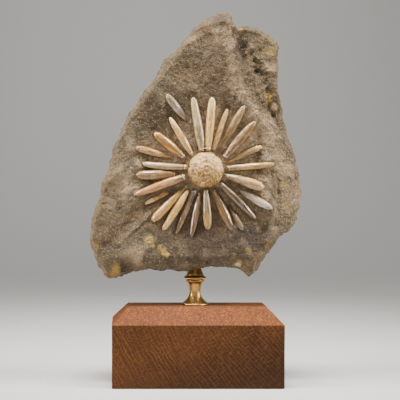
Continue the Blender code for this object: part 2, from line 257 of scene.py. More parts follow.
# %% [markdown]
# ## Measuring the spines
# The plain spines already lie where the real ones do. Each one's axis runs between its two end points,
# and its rings give its thickness. Reading both from the plain solid keeps the fine spine exactly in its
# place, and lets the stone know where the spines are.

# %% Spine axes and thickness
SPINE_COUNT = 25
SAME_RING = 0.011       # points this close along the spine, as a share of it, are on one ring
TEST_LOW, TEST_HIGH = (np.array(corner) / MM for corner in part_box("urchin_test"))
TEST_CENTRE = 0.5 * (TEST_LOW + TEST_HIGH)
TEST_RADIUS = 0.25 * (TEST_HIGH[0] - TEST_LOW[0] + TEST_HIGH[2] - TEST_LOW[2])


def measure_spine(name):
    """Base, tip, unit axis, length and (share, radius) profile of a plain spine, in millimetres."""
    points = places(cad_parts[name].data)
    middle = points.mean(axis=0)
    along = np.linalg.svd(points - middle, full_matrices=False)[2][0]
    reach = (points - middle) @ along
    ends = [points[reach.argmin()], points[reach.argmax()]]
    ends.sort(key=lambda end: np.linalg.norm(end - TEST_CENTRE))
    base, tip = ends
    length = np.linalg.norm(tip - base)
    axis = (tip - base) / length
    share = (points - base) @ axis / length
    radius = np.linalg.norm(points - base - np.outer(share * length, axis), axis=1)
    stations = np.unique(share.round(2))
    profile = [(station, radius[np.abs(share - station) < SAME_RING].max()) for station in stations]
    return {"base": base, "tip": tip, "axis": axis, "length": length, "profile": profile}


SPINES = {number: measure_spine(f"spine_{number:02d}") for number in range(1, SPINE_COUNT + 1)}
for number, spine in SPINES.items():
    widest = max(radius for share, radius in spine["profile"])
    print(f"spine {number:02d}: {spine['length']:.1f} mm long, {2 * widest:.1f} mm thick")

# %% [markdown]
# ## The matrix slab
# The slab is one broken piece of sandy stone. Its outline is a list of points, and its front is a plane
# from which flat chips have been knocked off, with crests and gullies on it and a shallow bowl cleared
# round the fossil. Those are the same few values that shape the plain slab. Finer forms are added in
# turn: small flat chips along the rim, ledges, grooves, pits and knobs, the stone's rise and dip round
# the spines, a rough broken face at the upper right, slanting folds at the lower left, and the grain.
# Sculpting brushes could shape such a stone too. Written values are chosen because each one can be
# changed by itself, and because the forms bend the mesh, so that they cast true shadows.

# %% Outline and chips of the slab
SLAB_CENTRE = (0.0, 182.0)
SLAB_OUTLINE = np.array([
    (25, 309), (30, 301), (33, 297), (42, 298), (50, 296), (58.5, 290.5), (64, 286), (67.5, 281),
    (66, 272), (67, 262), (66, 251.5), (69, 236), (71, 223), (75, 209), (79, 199), (82, 188),
    (84.5, 177), (86, 160), (85.5, 148), (81, 134), (76, 127.5), (69, 123), (66, 118), (61, 111),
    (54, 102), (50.5, 96), (44, 89), (40, 93), (34, 97.5), (22, 98), (9, 98), (-1, 96), (-12, 95),
    (-22, 95.5), (-31.5, 94), (-40, 96), (-48, 95.5), (-55, 93), (-63, 89.5), (-71, 88.6), (-77, 91),
    (-82, 99), (-85, 109), (-88.5, 117), (-88.5, 130), (-85, 145), (-80, 156), (-79, 168),
    (-74, 179), (-70.5, 189), (-69.5, 197), (-63.5, 208), (-57, 224), (-50.5, 231.5), (-44, 243),
    (-38, 250), (-30, 263), (-25, 272), (-16.5, 278), (-12, 285), (-2, 296), (4, 302), (13, 306),
    (19, 308.5),
])
FRONT_FACE = -20.0
BACK_FACE = 19.0
RIM_FRONT = -5.0
RIM_BACK = 6.0
DEEPEST_CHIP = 11.0
FRONT_CHIPS = [  # x, z, angle the surface falls away along, slope
    (17.0, 298.0, 78.0, 0.9), (36.0, 270.0, 5.0, 0.16), (50.0, 288.0, 66.0, 0.6),
    (54.5, 222.0, 43.0, 0.16), (77.0, 160.0, 0.0, 0.7), (61.0, 122.0, -37.0, 0.6),
    (0.0, 108.0, -90.0, 0.35), (-79.0, 108.0, -153.0, 0.6), (-75.0, 166.0, 163.0, 0.6),
    (-31.0, 252.0, 143.0, 0.8),
]
BACK_CHIPS = [
    (28.0, 190.0, 4.0, 0.22), (-34.0, 180.0, 176.0, 0.2), (5.0, 238.0, 84.0, 0.22),
    (-25.0, 232.0, 146.0, 0.5), (0.0, 125.0, -86.0, 0.28), (48.0, 130.0, -40.0, 0.5),
]
FRONT_SWELLS = [  # x1, z1, x2, z2, width, height of each crest (plus) or gully (minus)
    (31, 295, 30, 264, 6, 3.2), (30, 264, 37, 242, 6, 3.2), (37, 242, 55, 221, 9, 1.3),
    (55, 221, 74, 200, 9, 1.6), (35, 286, 37, 269, 5.5, -2.8), (47, 263, 54, 250, 5, -2.2),
    (57, 244, 59, 222, 4, -1.8), (60, 147, 63, 138, 5, 2.2), (63, 128, 57, 120, 5, 2.0),
    (46, 137, 52, 130, 8, -2.6), (40, 113, 44, 101, 8, 2.6), (-59, 119, -43, 138, 8, 1.1),
    (-73, 117, -57, 137, 8, -1.0), (-70, 172, -52, 181, 7, 1.8), (-58, 101, -54, 104, 6, -2.6),
]
BOWL_CENTRE = (2.0, 181.0)
BOWL_RADIUS = (42.0, 66.0)
BOWL_DEPTH = 3.0
LUMP_SIZE = 24.0
LUMP_HEIGHT = 1.3
BREAK_LUMPS = 2.0       # how much rougher the rim and the back are
print("outline points:", len(SLAB_OUTLINE), "chips:", len(FRONT_CHIPS) + len(BACK_CHIPS))


# %% Front and back of the slab
def to_segment(x, z, x1, z1, x2, z2):
    """Distance in the x, z plane from each point to a line segment."""
    run_x, run_z = x2 - x1, z2 - z1
    share = np.clip(((x - x1) * run_x + (z - z1) * run_z) / (run_x**2 + run_z**2), 0.0, 1.0)
    return np.hypot(x - x1 - share * run_x, z - z1 - share * run_z)


def chipped_depth(x, z, chips):
    """How much the deepest chip takes off at each place."""
    depth = np.zeros_like(x)
    for chip_x, chip_z, degrees, slope in chips:
        angle = math.radians(degrees)
        beyond = (x - chip_x) * math.cos(angle) + (z - chip_z) * math.sin(angle)
        depth = np.maximum(depth, slope * beyond)
    return np.minimum(depth, DEEPEST_CHIP)


def lumps(x, z, seed):
    """Broad unevenness of the broken stone."""
    return LUMP_HEIGHT * np.array([
        noise.noise(Vector((px / LUMP_SIZE, seed, pz / LUMP_SIZE))) for px, pz in zip(x, z)
    ])


def front_y(x, z):
    """y of the slab's front face at each place."""
    from_bowl = np.hypot(x - BOWL_CENTRE[0], z - BOWL_CENTRE[1])
    bowl = BOWL_DEPTH * (1.0 - smooth_step(*BOWL_RADIUS, from_bowl))
    heights = np.array([
        height * bump_at(to_segment(x, z, x1, z1, x2, z2), width)
        for x1, z1, x2, z2, width, height in FRONT_SWELLS
    ])
    swollen = np.maximum(0.0, heights.max(axis=0)) + np.minimum(0.0, heights.min(axis=0))
    return FRONT_FACE + bowl + chipped_depth(x, z, FRONT_CHIPS) - swollen + lumps(x, z, 3.7)


def back_y(x, z):
    """y of the slab's back face at each place."""
    return BACK_FACE - chipped_depth(x, z, BACK_CHIPS) + BREAK_LUMPS * lumps(x, z, 11.3)


MIDDLE_X, MIDDLE_Z = np.array(SLAB_CENTRE)[:, None]
middle_y = [round(float(face(MIDDLE_X, MIDDLE_Z)[0]), 2) for face in (front_y, back_y)]
print("y of front and back at the slab's middle:", middle_y)

# %% Rough edge of the slab
SPOKES = 600
OUTLINE_ROUGHNESS = 0.9


def fine_outline():
    """The outline walked in equal steps, with a rough edge."""
    closed = np.vstack([SLAB_OUTLINE, SLAB_OUTLINE[:1]])
    walked = np.concatenate([[0.0], np.cumsum(np.hypot(*np.diff(closed, axis=0).T))])
    stops = np.linspace(0.0, walked[-1], SPOKES, endpoint=False)
    outline = np.stack([np.interp(stops, walked, closed[:, axis]) for axis in (0, 1)], axis=1)
    outward = outline - SLAB_CENTRE
    outward /= np.linalg.norm(outward, axis=1)[:, None]
    flat = np.stack([outline[:, 0], np.zeros(SPOKES), outline[:, 1]], axis=1)
    rough = unevenness(flat, 7.0, 3, 5.1)
    return outline + outward * (OUTLINE_ROUGHNESS * (rough - 0.25))[:, None]


print("points round the edge:", len(fine_outline()))

# %% Rings of the slab
FRONT_STEPS = 92
RIM_STEPS = 24
BACK_STEPS = 44
RIM_SHARES = (0.968, 1.0, 0.995, 0.95)   # front arris, rim's two edges, back arris
RING_CROWDING = 0.85    # below 1 the rings crowd towards the rim


def slab_rings():
    """Rings from the middle of the front, over the rim, to the middle of the back."""
    outline = fine_outline()
    spokes = outline - SLAB_CENTRE

    def ring(share, y_at):
        x = SLAB_CENTRE[0] + share * spokes[:, 0]
        z = SLAB_CENTRE[1] + share * spokes[:, 1]
        return np.stack([x, y_at(x, z), z], axis=1)

    front_shares = RIM_SHARES[0] * np.linspace(0.0, 1.0, FRONT_STEPS + 1)[1:] ** RING_CROWDING
    back_shares = RIM_SHARES[3] * np.linspace(1.0, 0.0, BACK_STEPS + 1)[:-1] ** RING_CROWDING
    corners = [
        ring(RIM_SHARES[0], front_y),
        ring(RIM_SHARES[1], lambda x, z: RIM_FRONT + BREAK_LUMPS * lumps(x, z, 20.1)),
        ring(RIM_SHARES[2], lambda x, z: RIM_BACK + BREAK_LUMPS * lumps(x, z, 27.9)),
        ring(RIM_SHARES[3], back_y),
    ]
    rows = [ring(share, front_y) for share in front_shares]
    for step in range(1, RIM_STEPS):
        place = 3.0 * step / RIM_STEPS
        leg = min(int(place), 2)
        share = smooth_step(0.0, 1.0, np.array(place - leg)) * 0.4 + (place - leg) * 0.6
        rows.append(corners[leg] * (1.0 - share) + corners[leg + 1] * share)
    rows.extend(ring(share, back_y) for share in back_shares)
    return np.array(rows)


slab = closed_skin(
    "matrix_stone",
    slab_rings(),
    (SLAB_CENTRE[0], front_y(MIDDLE_X, MIDDLE_Z)[0], SLAB_CENTRE[1]),
    (SLAB_CENTRE[0], back_y(MIDDLE_X, MIDDLE_Z)[0], SLAB_CENTRE[1]),
)
print("slab skin:", len(slab.data.polygons), "faces")

# %% Flat chips along the rim
RIM_CHIPS = 70
CHIP_REACH = (7.0, 17.0)        # mm
CHIP_BITE = (0.8, 3.2)          # mm
CHIP_LEAN = (18.0, 72.0)        # degrees out of the slab's plane
CHIP_TWIST = 0.35               # greatest slant along the rim
CHIP_INSET = 3.0                # mm in from the outline
FRONT_ARRIS, BACK_ARRIS = -11.0, 12.0    # y of the corners that break off
chip_draws = np.random.default_rng(41)


def knock_rim_chips(points):
    """Presses small patches of the rim flat, each onto its own tilted plane."""
    outline = fine_outline()
    for _ in range(RIM_CHIPS):
        spot = outline[chip_draws.integers(SPOKES)]
        outward = spot - SLAB_CENTRE
        outward /= np.linalg.norm(outward)
        lean = math.radians(chip_draws.uniform(*CHIP_LEAN))
        side = chip_draws.choice([-1.0, 1.0])
        twist = chip_draws.uniform(-CHIP_TWIST, CHIP_TWIST)
        tangent = np.array([-outward[1], outward[0]])
        level = outward * math.cos(lean) + tangent * twist
        facing = np.array([level[0], side * math.sin(lean), level[1]])
        facing /= np.linalg.norm(facing)
        corner_x, corner_z = spot - CHIP_INSET * outward
        corner = np.array([corner_x, FRONT_ARRIS if side < 0.0 else BACK_ARRIS, corner_z])
        reach = chip_draws.uniform(*CHIP_REACH)
        away = np.linalg.norm(points - corner, axis=1)
        near = away < reach
        if not near.any():
            continue
        above = points[near] @ facing
        level_off = above.max() - chip_draws.uniform(*CHIP_BITE)
        hold = 1.0 - smooth_step(0.7, 1.0, away[near] / reach)
        points[near] -= np.outer(np.maximum(above - level_off, 0.0) * hold, facing)
    return points


slab_points = knock_rim_chips(places(slab.data))
put(slab.data, slab_points)
print("rim chips:", RIM_CHIPS)

# %% Ledges, grooves, pits and knobs
LEDGES = [  # path, crest, drop on its right, and the widths of the slope, the step and the dip
    ([(34.8, 241.2), (32.4, 251.8), (30.1, 263.7), (29.4, 275.5), (29.4, 287.4), (28.9, 296.8)],
     1.0, 1.5, 8.0, 3.0, 8.0),
    ([(65.6, 212.8), (59.6, 219.9), (50.2, 228.2), (40.7, 235.3), (34.8, 241.2)],
     0.5, 0.8, 8.0, 3.0, 7.0),
    ([(-6.6, 281.6), (0.5, 287.3), (8.8, 290.9), (17.1, 290.9), (24.1, 287.3), (28.9, 282.6)],
     0.5, 0.3, 3.0, 2.0, 6.0),
    ([(43.0, 279.0), (48.0, 271.5), (54.9, 263.7)], 1.0, 0.9, 3.0, 2.0, 4.5),
    ([(49.1, 262.5), (55.6, 259.6), (61.4, 258.8)], 0.8, 0.5, 4.0, 1.6, 5.0),
    ([(47.5, 221.1), (52.4, 211.3), (54.0, 201.5), (52.4, 193.3)], 0.4, 0.4, 8.0, 2.6, 6.0),
    ([(57.3, 120.5), (63.8, 127.1), (61.5, 135.2), (61.8, 144.5), (63.3, 158.0)],
     1.0, 1.2, 4.5, 1.8, 4.5),
    ([(-63.0, 118.9), (-51.5, 131.2), (-41.7, 140.1)], 0.7, 0.4, 4.0, 2.0, 4.5),
    ([(-59.0, 123.9), (-49.1, 131.4)], 0.5, 0.4, 1.6, 1.1, 2.0),
    ([(4.1, 299.7), (14.6, 300.9), (21.7, 296.8), (28.9, 295.6)], 0.3, 0.4, 3.0, 1.4, 4.0),
]
GROOVES = [  # x1, z1, x2, z2, width, depth
    (65.5, 171.5, 65.8, 158.5, 0.8, 1.1), (-52.0, 128.3, -45.0, 133.2, 0.8, 0.6),
    (57.2, 234.1, 61.5, 223.0, 2.0, 1.0), (61.5, 223.0, 65.5, 215.0, 1.6, 1.1),
    (65.5, 215.0, 68.0, 206.4, 1.4, 0.9), (-62.2, 100.1, -54.0, 101.7, 3.4, 1.2),
    (-74.4, 114.8, -53.2, 136.1, 4.0, 0.4), (63.3, 138.6, 63.0, 132.8, 0.9, 0.9),
    (63.9, 240.0, 65.0, 228.0, 1.4, 0.6), (14.6, 300.6, 18.7, 298.0, 0.7, 0.9),
    (18.7, 298.0, 28.0, 295.8, 0.6, 0.7), (34.0, 286.0, 37.5, 271.0, 2.4, 0.5),
]
PITS = [  # x, z, radius, depth (minus for a knob)
    (25.3, 293.2, 0.7, 0.9), (25.1, 291.6, 0.6, 0.8), (44.0, 275.0, 2.6, 0.3), (47.8, 258.4, 2.4, 1.5),
    (17.7, 273.1, 2.6, 0.6), (46.6, 136.1, 6.0, 1.2), (30.3, 237.5, 4.0, 1.0), (5.7, 241.6, 12.0, 0.8),
    (25.4, 243.0, 8.0, 0.8), (-22.9, 231.8, 9.0, 0.8), (0.8, 285.0, 3.0, -0.8),
    (33.3, 101.5, 2.4, -1.2), (31.4, 113.2, 2.2, -0.8), (38.5, 114.6, 2.4, -0.8),
    (40.8, 108.2, 2.6, -1.0), (36.3, 104.1, 2.2, -0.8), (-27.0, 268.6, 3.0, -1.2),
    (-49.0, 111.5, 11.0, -1.5), (-62.6, 178.0, 9.0, -1.0), (69.4, 180.0, 8.0, -0.9),
    (-86.6, 112.0, 5.0, -1.0), (55.4, 184.0, 7.0, -0.8), (-69.6, 94.5, 5.0, -1.2),
    (52.0, 283.0, 3.0, -0.7), (56.0, 271.0, 3.5, -0.7),
]
print("ledges:", len(LEDGES), "grooves:", len(GROOVES), "pits and knobs:", len(PITS))


def to_path(x, z, path):
    """Distance from each point to a path, plus on the path's right and minus on its left."""
    nearest = np.full_like(x, 1e6)
    for (x1, z1), (x2, z2) in zip(path, path[1:]):
        run_x, run_z = x2 - x1, z2 - z1
        away = to_segment(x, z, x1, z1, x2, z2)
        side = np.where((x - x1) * run_z - (z - z1) * run_x > 0.0, 1.0, -1.0)
        nearest = np.where(away < np.abs(nearest), side * away, nearest)
    return nearest


def marked_forms(x, z):
    """Height of the single forms that give this stone its look from the front."""
    height = np.zeros_like(x)
    for path, crest, drop, slope, step, dip in LEDGES:
        away = to_path(x, z, path)
        left = crest * bump_at(away, slope)
        right = (crest + drop) * bump_at(away, step) - drop * bump_at(away, dip)
        height += np.where(away < 0.0, left, right)
    for x1, z1, x2, z2, width, depth in GROOVES:
        height -= depth * bump_at(to_segment(x, z, x1, z1, x2, z2), width)
    for pit_x, pit_z, radius, depth in PITS:
        height -= depth * bump_at(np.hypot(x - pit_x, z - pit_z), radius)
    return height


# %% Relief round the fossil
SEAM_DEPTH = 0.45       # a fine line where the stone meets each spine
SEAM_WIDTH = 0.9
BANK_SHARE = 0.75       # the stone rises towards a spine that stands proud
BANK_WIDTH = 7.0
BURIED = (5, 12, 13)    # spines that the stone still half covers
BURIED_BANK = 0.5
HUB_DEPTH = 0.7         # and dips between the spines' bases, round the test
HUB_RADIUS = 18.0
HUB_WIDTH = 3.0
print("half buried spines:", BURIED)


def spine_seams(x, z):
    """How far the stone dips beside the spines and round the test, less how far it rises to them."""
    seam = np.zeros_like(x)
    bank = np.zeros_like(x)
    for number, spine in SPINES.items():
        base, tip = spine["base"], spine["tip"]
        middle = 0.5 * (base + tip)
        proud = front_y(middle[:1], middle[2:])[0] - middle[1]
        rise = BURIED_BANK if number in BURIED else BANK_SHARE * max(0.0, proud - 1.0)
        widest = max(radius for share, radius in spine["profile"])
        clear = np.maximum(to_segment(x, z, base[0], base[2], tip[0], tip[2]) - 0.8 * widest, 0.0)
        if number not in BURIED:
            seam = np.maximum(seam, SEAM_DEPTH * bump_at(clear, SEAM_WIDTH))
        bank = np.maximum(bank, rise * bump_at(clear, BANK_WIDTH))
    from_test = np.hypot(x - TEST_CENTRE[0], z - TEST_CENTRE[2])
    return seam - bank + HUB_DEPTH * bump_at(from_test - HUB_RADIUS, HUB_WIDTH)


# %% Relief over the whole slab
CALM_BOWL = (42.0, 64.0)        # mm from the bowl's middle: calm inside, rough outside
FOOT_SPOT = (6.0, 112.0)        # x, z of the rubbed stone above the post
CALM_FOOT = (14.0, 30.0)
BROKEN_X, BROKEN_Z = (32.0, 42.0), (222.0, 240.0)     # where the broken face at the upper right sets in
FOLDS_X, FOLDS_Z = (-45.0, -15.0), (165.0, 200.0)     # and where the folds at the lower left end
ACROSS_FOLDS = np.array([0.78, 0.0, -0.62])
ALONG_FOLDS = np.array([0.62, 0.0, 0.78])


def finer_relief(mesh):
    """Adds the small forms along the normals. Returns how far each point is hollow, crest and rim."""
    points = places(mesh)
    outward = normals(mesh)
    x, z = points[:, 0], points[:, 2]
    front = smooth_step(0.2, 0.7, -outward[:, 1])
    rim = 1.0 - np.abs(outward[:, 1])
    from_bowl = np.hypot(x - BOWL_CENTRE[0], z - BOWL_CENTRE[1])
    from_foot = np.hypot(0.7 * (x - FOOT_SPOT[0]), z - FOOT_SPOT[1])
    calm = 1.0 - 0.7 * front * (1.0 - smooth_step(*CALM_BOWL, from_bowl))
    calm *= 1.0 - 0.6 * front * (1.0 - smooth_step(*CALM_FOOT, from_foot))
    broken = front * smooth_step(*BROKEN_X, x) * smooth_step(*BROKEN_Z, z + 0.4 * (x - 40.0))
    fold_axes = [points @ ACROSS_FOLDS, 0.2 * (points @ ALONG_FOLDS), points[:, 1]]
    folds = unevenness(np.stack(fold_axes, axis=1), 7.0, 2, 8.8)
    lower_left = front * (1.0 - smooth_step(*FOLDS_X, x)) * (1.0 - smooth_step(*FOLDS_Z, z))
    coarse = unevenness(points, 13.0, 3, 1.3)
    medium = unevenness(points, 5.0, 3, 6.1)
    torn = np.abs(unevenness(points, 8.0, 3, 9.7))
    grain = unevenness(points, 2.4, 2, 2.2)
    pits = smooth_step(0.42, 0.75, unevenness(points, 3.4, 1, 12.5))
    detail = (
        0.9 * calm * coarse
        + (0.24 * calm + 0.3 * broken + 0.6 * rim) * medium
        + (1.0 * broken + 1.6 * rim) * (0.35 - torn)
        + 0.6 * lower_left * folds
        + (0.1 + 0.14 * calm + 0.3 * rim + 0.2 * broken) * grain
        - 0.3 * calm * pits
    )
    marked = front * marked_forms(x, z)
    dips = front * spine_seams(x, z)
    put(mesh, points + outward * (detail + marked - dips)[:, None])
    depth = 1.6 * np.maximum(dips, 0.0) - 0.9 * marked - 0.9 * detail + 0.9 * pits
    return smooth_step(-0.2, 2.4, depth), smooth_step(0.4, 2.0, -depth), rim


slab_hollow, slab_crest, slab_rim = finer_relief(slab.data)
# The finish paints hollow points darker: partly dust, partly painted shade in the gullies, beside the
# spines and round the test.
point_value(slab.data, "hollow", slab_hollow)
point_value(slab.data, "crest", slab_crest)
point_value(slab.data, "rim", slab_rim)
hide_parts("matrix_slab")
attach(slab, "root")
print("hollow share of the slab:", round(float(slab_hollow.mean()), 3))

# %% [markdown]
# ## The test
# The shell of the animal is a low dome of small plates. It is worn, so what is left is a rosette at the
# top, a few bosses where spines once sat, faint furrows between the plates and a granular skin. The dome
# is a stack of rings from its front pole to its sunk underside, and each form is a bump or a dip that
# depends on the distance from the pole and the angle round it. It could be built plate by plate, but the
# plates are too worn to be told apart, so one dome with bumps comes closer.

# %% Rings of the test
TEST_PROUD = 13.0       # mm in front of its seat, and behind it
TEST_SUNK = 4.5
TEST_COLUMNS = 180
TEST_ROWS = 96
TEST_LOBES = 10
LOBE_DEPTH = 0.018
OUT_OF_ROUND = 0.012
DOME_FULLNESS = 0.85    # below 1 the dome is fuller than a ball
LAST_RING = 150.0       # degrees from the front pole
RELIEF_ROOM = 0.35      # mm left for the relief


def test_rings():
    """Rings of the dome and its underside, with the lobes of the outline."""
    seat_y = TEST_LOW[1] + TEST_PROUD
    polar = np.linspace(0.0, math.radians(LAST_RING), TEST_ROWS + 1)[1:, None]
    turn = np.linspace(0.0, 2.0 * math.pi, TEST_COLUMNS, endpoint=False)[None, :]
    lobe = 1.0 + LOBE_DEPTH * np.cos(TEST_LOBES * turn) + OUT_OF_ROUND * np.cos(3.0 * turn + 1.0)
    reach = np.where(polar < 0.5 * math.pi, TEST_PROUD, TEST_SUNK)
    radius = (TEST_RADIUS - RELIEF_ROOM) * lobe * np.sin(polar) ** DOME_FULLNESS
    x = TEST_CENTRE[0] + radius * np.cos(turn)
    y = seat_y - reach * np.cos(polar) * np.ones_like(turn)
    z = TEST_CENTRE[2] + radius * np.sin(turn)
    return np.stack([x, y, z], axis=-1), seat_y


test_grid, test_seat = test_rings()
print("test radius:", round(float(TEST_RADIUS), 2), "mm, rings:", len(test_grid))

# %% Rosette, bosses and granules
ROSETTE_TURN = 0.35
ROSETTE_RISE = 0.6      # mm by which the rosette sits above the dome's middle
TEST_BOSSES = [  # x and z from the pole, width, height
    (-4.3, -9.7, 1.1, 1.5), (9.9, -6.6, 1.0, 1.3), (-11.7, -6.9, 1.0, 1.0), (4.2, 13.0, 1.2, 1.0),
    (-13.6, 2.6, 1.2, 0.9), (13.4, 3.0, 1.2, 0.8), (-7.0, 9.0, 1.3, 0.7), (10.2, 8.2, 1.3, 0.7),
]
TEST_PITS = [  # the same, as hollows
    (-3.6, -8.4, 0.9, 1.3), (0.2, 7.2, 1.1, 0.9), (11.2, -4.4, 0.8, 0.6), (-8.6, 5.6, 1.0, 0.6),
    (8.6, 4.8, 1.4, 0.6), (-10.6, 0.3, 1.3, 0.6), (2.4, -2.9, 0.9, 0.7),
]
SMALL_BOSSES = 110
SMALL_BOSS_REACH = 13.0
boss_draws = np.random.default_rng(17)
print("bosses:", len(TEST_BOSSES) + SMALL_BOSSES, "pits:", len(TEST_PITS))


def test_relief(points):
    """Height of the rosette, bosses, furrows and granules at each point."""
    x = points[:, 0] - TEST_CENTRE[0]
    z = points[:, 2] - TEST_CENTRE[2]
    from_pole = np.hypot(x, z - ROSETTE_RISE)
    turn = np.arctan2(z - ROSETTE_RISE, x)
    petals = 0.55 + 0.45 * np.cos(TEST_LOBES * turn + ROSETTE_TURN)
    furrow = smooth_step(0.75, 1.0, np.cos(TEST_LOBES * turn + ROSETTE_TURN + math.pi))
    plates = smooth_step(-0.2, 1.0, np.cos(from_pole * 2.1)) * smooth_step(6.0, 8.0, from_pole)
    height = (
        0.5 * bump_at(from_pole - 2.0, 0.7)
        - 0.45 * bump_at(from_pole, 1.0)
        - 0.4 * bump_at(from_pole - 3.6, 0.8)
        + 0.65 * petals * bump_at(from_pole - 5.4, 0.9)
        - 0.16 * furrow * smooth_step(5.5, 8.0, from_pole)
        + 0.12 * plates * (1.0 - furrow)
    )
    for boss_x, boss_z, width, tall in TEST_BOSSES:
        height += tall * bump_at(np.hypot(x - boss_x, z - boss_z), width)
    for pit_x, pit_z, width, deep in TEST_PITS:
        height -= deep * bump_at(np.hypot(x - pit_x, z - pit_z), width)
    for _ in range(SMALL_BOSSES):
        away = SMALL_BOSS_REACH * math.sqrt(boss_draws.uniform(0.02, 1.0))
        angle = boss_draws.uniform(-0.25 * math.pi, 1.25 * math.pi)
        near = np.hypot(x - away * math.cos(angle), z - away * math.sin(angle))
        height += boss_draws.uniform(-0.35, 0.6) * bump_at(near, boss_draws.uniform(0.5, 0.95))
    granules = unevenness(points, 1.6, 2, 4.4)
    worn = unevenness(points, 5.0, 2, 7.7)
    return height + 0.5 * granules + 0.25 * worn


# %% The test in its place
RELIEF_DATUM = 0.25     # the height of the relief that lies on the plain dome
test = closed_skin(
    "urchin_shell",
    test_grid,
    (TEST_CENTRE[0], test_seat - TEST_PROUD, TEST_CENTRE[2]),
    (TEST_CENTRE[0], test_seat + TEST_SUNK, TEST_CENTRE[2]),
)
test_points = places(test.data)
test_height = test_relief(test_points)
put(test.data, test_points + normals(test.data) * (test_height - RELIEF_DATUM)[:, None])
point_value(test.data, "hollow", smooth_step(0.25, -0.9, test_height))
# Painted light: lit_side runs from the test's lower side to its upper side, and the finish paints the top
# paler.
point_value(test.data, "lit_side", smooth_step(-9.0, 9.0, test_points[:, 2] - TEST_CENTRE[2]))
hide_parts("urchin_test")
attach(test, "root")
print("test:", len(test.data.polygons), "faces, seat at y", round(float(test_seat), 2))

# %% [markdown]
# ## The spines
# Each spine is a club turned about its own axis: a small button that sat on the shell, a raised collar,
# a neck and a long swelling shaft with a blunt tip. A lathe alone would look too perfect, so the shaft
# is bent by a fraction of a millimetre, made slightly uneven, and given fine lengthwise lines. Some have
# a worn cap, a nub or a pit. What differs from spine to spine stands in one table, with its colours.

# %% Spine table
PALETTE = {
    "silver": (188, 182, 194), "grey": (164, 155, 158), "dark_grey": (130, 120, 118),
    "olive": (156, 138, 106), "cream": (228, 202, 166), "ivory": (238, 222, 192),
    "peach": (218, 183, 134), "orange": (201, 152, 92), "tan": (191, 165, 121),
    "pink_tan": (196, 166, 135), "ochre": (202, 162, 84), "yellow": (216, 190, 134),
    "mauve": (165, 137, 116), "red_brown": (155, 106, 80), "brown": (150, 116, 86),
    "blue_grey": (122, 114, 108), "bone": (236, 222, 200), "umber": (104, 78, 56),
}


# side is the colour painted on a spine's flanks: on most a painted highlight along its edges, on a few a
# painted shade.
def spine_look(inner, middle, tip, accent="ochre", band=(2.0, 3.0), collar=0.0, cap=0.0, nub=0.0,
               bend=0.0, lines=0.04, rough=0.06, pits=(), side=None, shade=1.0):
    """What sets one spine apart. band is where the accent colour lies, from base (0) to tip (1)."""
    return dict(inner=inner, middle=middle, tip=tip, accent=accent, band=band, collar=collar, cap=cap,
                nub=nub, bend=bend, lines=lines, rough=rough, pits=pits, side=side or middle,
                shade=shade)


# shade scales a spine's colours: partly its own tone, partly painted light and shade, brighter for spines
# that lie in the light and darker for those in shadow.
SPINE_LOOKS = {
    1: spine_look("grey", "grey", "olive", pits=((0.86, 80, 0.8),), side="silver", shade=1.6),
    2: spine_look("silver", "silver", "bone", collar=1.0, bend=-0.3, side="ivory",
                  pits=((0.72, 70, 0.4), (0.3, 100, 0.5)), shade=1.05),
    3: spine_look("cream", "peach", "cream", "orange", (0.3, 0.7), collar=1.0, side="ivory", shade=2.8),
    4: spine_look("pink_tan", "pink_tan", "cream", collar=0.4, bend=0.4, side="bone", shade=2.2),
    5: spine_look("olive", "pink_tan", "bone", side="bone", rough=0.05, shade=0.8),
    6: spine_look("red_brown", "mauve", "tan", "red_brown", (0.1, 0.62), collar=0.9, rough=0.22,
                  lines=0.09, side="tan"),
    7: spine_look("tan", "tan", "yellow", cap=0.8, side="cream", bend=0.5, shade=1.1),
    8: spine_look("olive", "tan", "yellow", "peach", (0.72, 1.1), collar=0.7, cap=0.6, side="yellow",
                  pits=((0.34, 85, 0.5),), shade=1.12),
    9: spine_look("tan", "tan", "orange", "orange", (0.55, 1.1), collar=0.8, side="bone", rough=0.1),
    10: spine_look("grey", "silver", "silver", side="silver", shade=1.6),
    11: spine_look("tan", "olive", "orange", "blue_grey", (0.42, 0.66), collar=0.5, side="mauve",
                   lines=0.07, shade=0.5),
    12: spine_look("olive", "olive", "tan", cap=0.6, nub=0.5, rough=0.12, side="tan", shade=0.48),
    13: spine_look("tan", "tan", "brown", side="brown", rough=0.05, shade=0.63),
    14: spine_look("olive", "tan", "ochre", "umber", (0.3, 0.5), lines=0.1, side="cream", shade=0.65),
    15: spine_look("red_brown", "grey", "brown", side="mauve", pits=((0.06, 90, 1.3),),
                   lines=0.07, shade=0.68),
    16: spine_look("blue_grey", "mauve", "tan", side="dark_grey", collar=0.8, rough=0.08, shade=0.75),
    17: spine_look("yellow", "yellow", "pink_tan", "tan", (0.3, 0.6), collar=0.3, side="cream",
                   shade=1.35),
    18: spine_look("olive", "yellow", "ochre", "ochre", (0.5, 0.8), collar=0.4, side="yellow"),
    19: spine_look("tan", "pink_tan", "silver", rough=0.06, side="cream", shade=1.35),
    20: spine_look("brown", "orange", "orange", "orange", (0.35, 0.7), collar=1.0, nub=1.0,
                   side="peach", shade=1.1),
    21: spine_look("pink_tan", "mauve", "mauve", collar=1.0, bend=0.5, side="tan",
                   pits=((0.86, 130, 0.7),)),
    22: spine_look("yellow", "cream", "bone", "olive", (0.12, 0.3), collar=1.0, bend=0.9,
                   side="silver", pits=((0.93, 75, 0.5),), shade=1.1),
    23: spine_look("yellow", "peach", "orange", "red_brown", (0.9, 1.1), cap=1.0, side="cream"),
    24: spine_look("tan", "ochre", "tan", "orange", (0.4, 0.74), collar=0.8, side="ochre",
                   pits=((0.76, 85, 1.2),), shade=1.1),
    25: spine_look("tan", "cream", "cream", "orange", (0.48, 0.64), collar=0.7, side="ivory", shade=1.6),
}
print("spine looks:", len(SPINE_LOOKS))

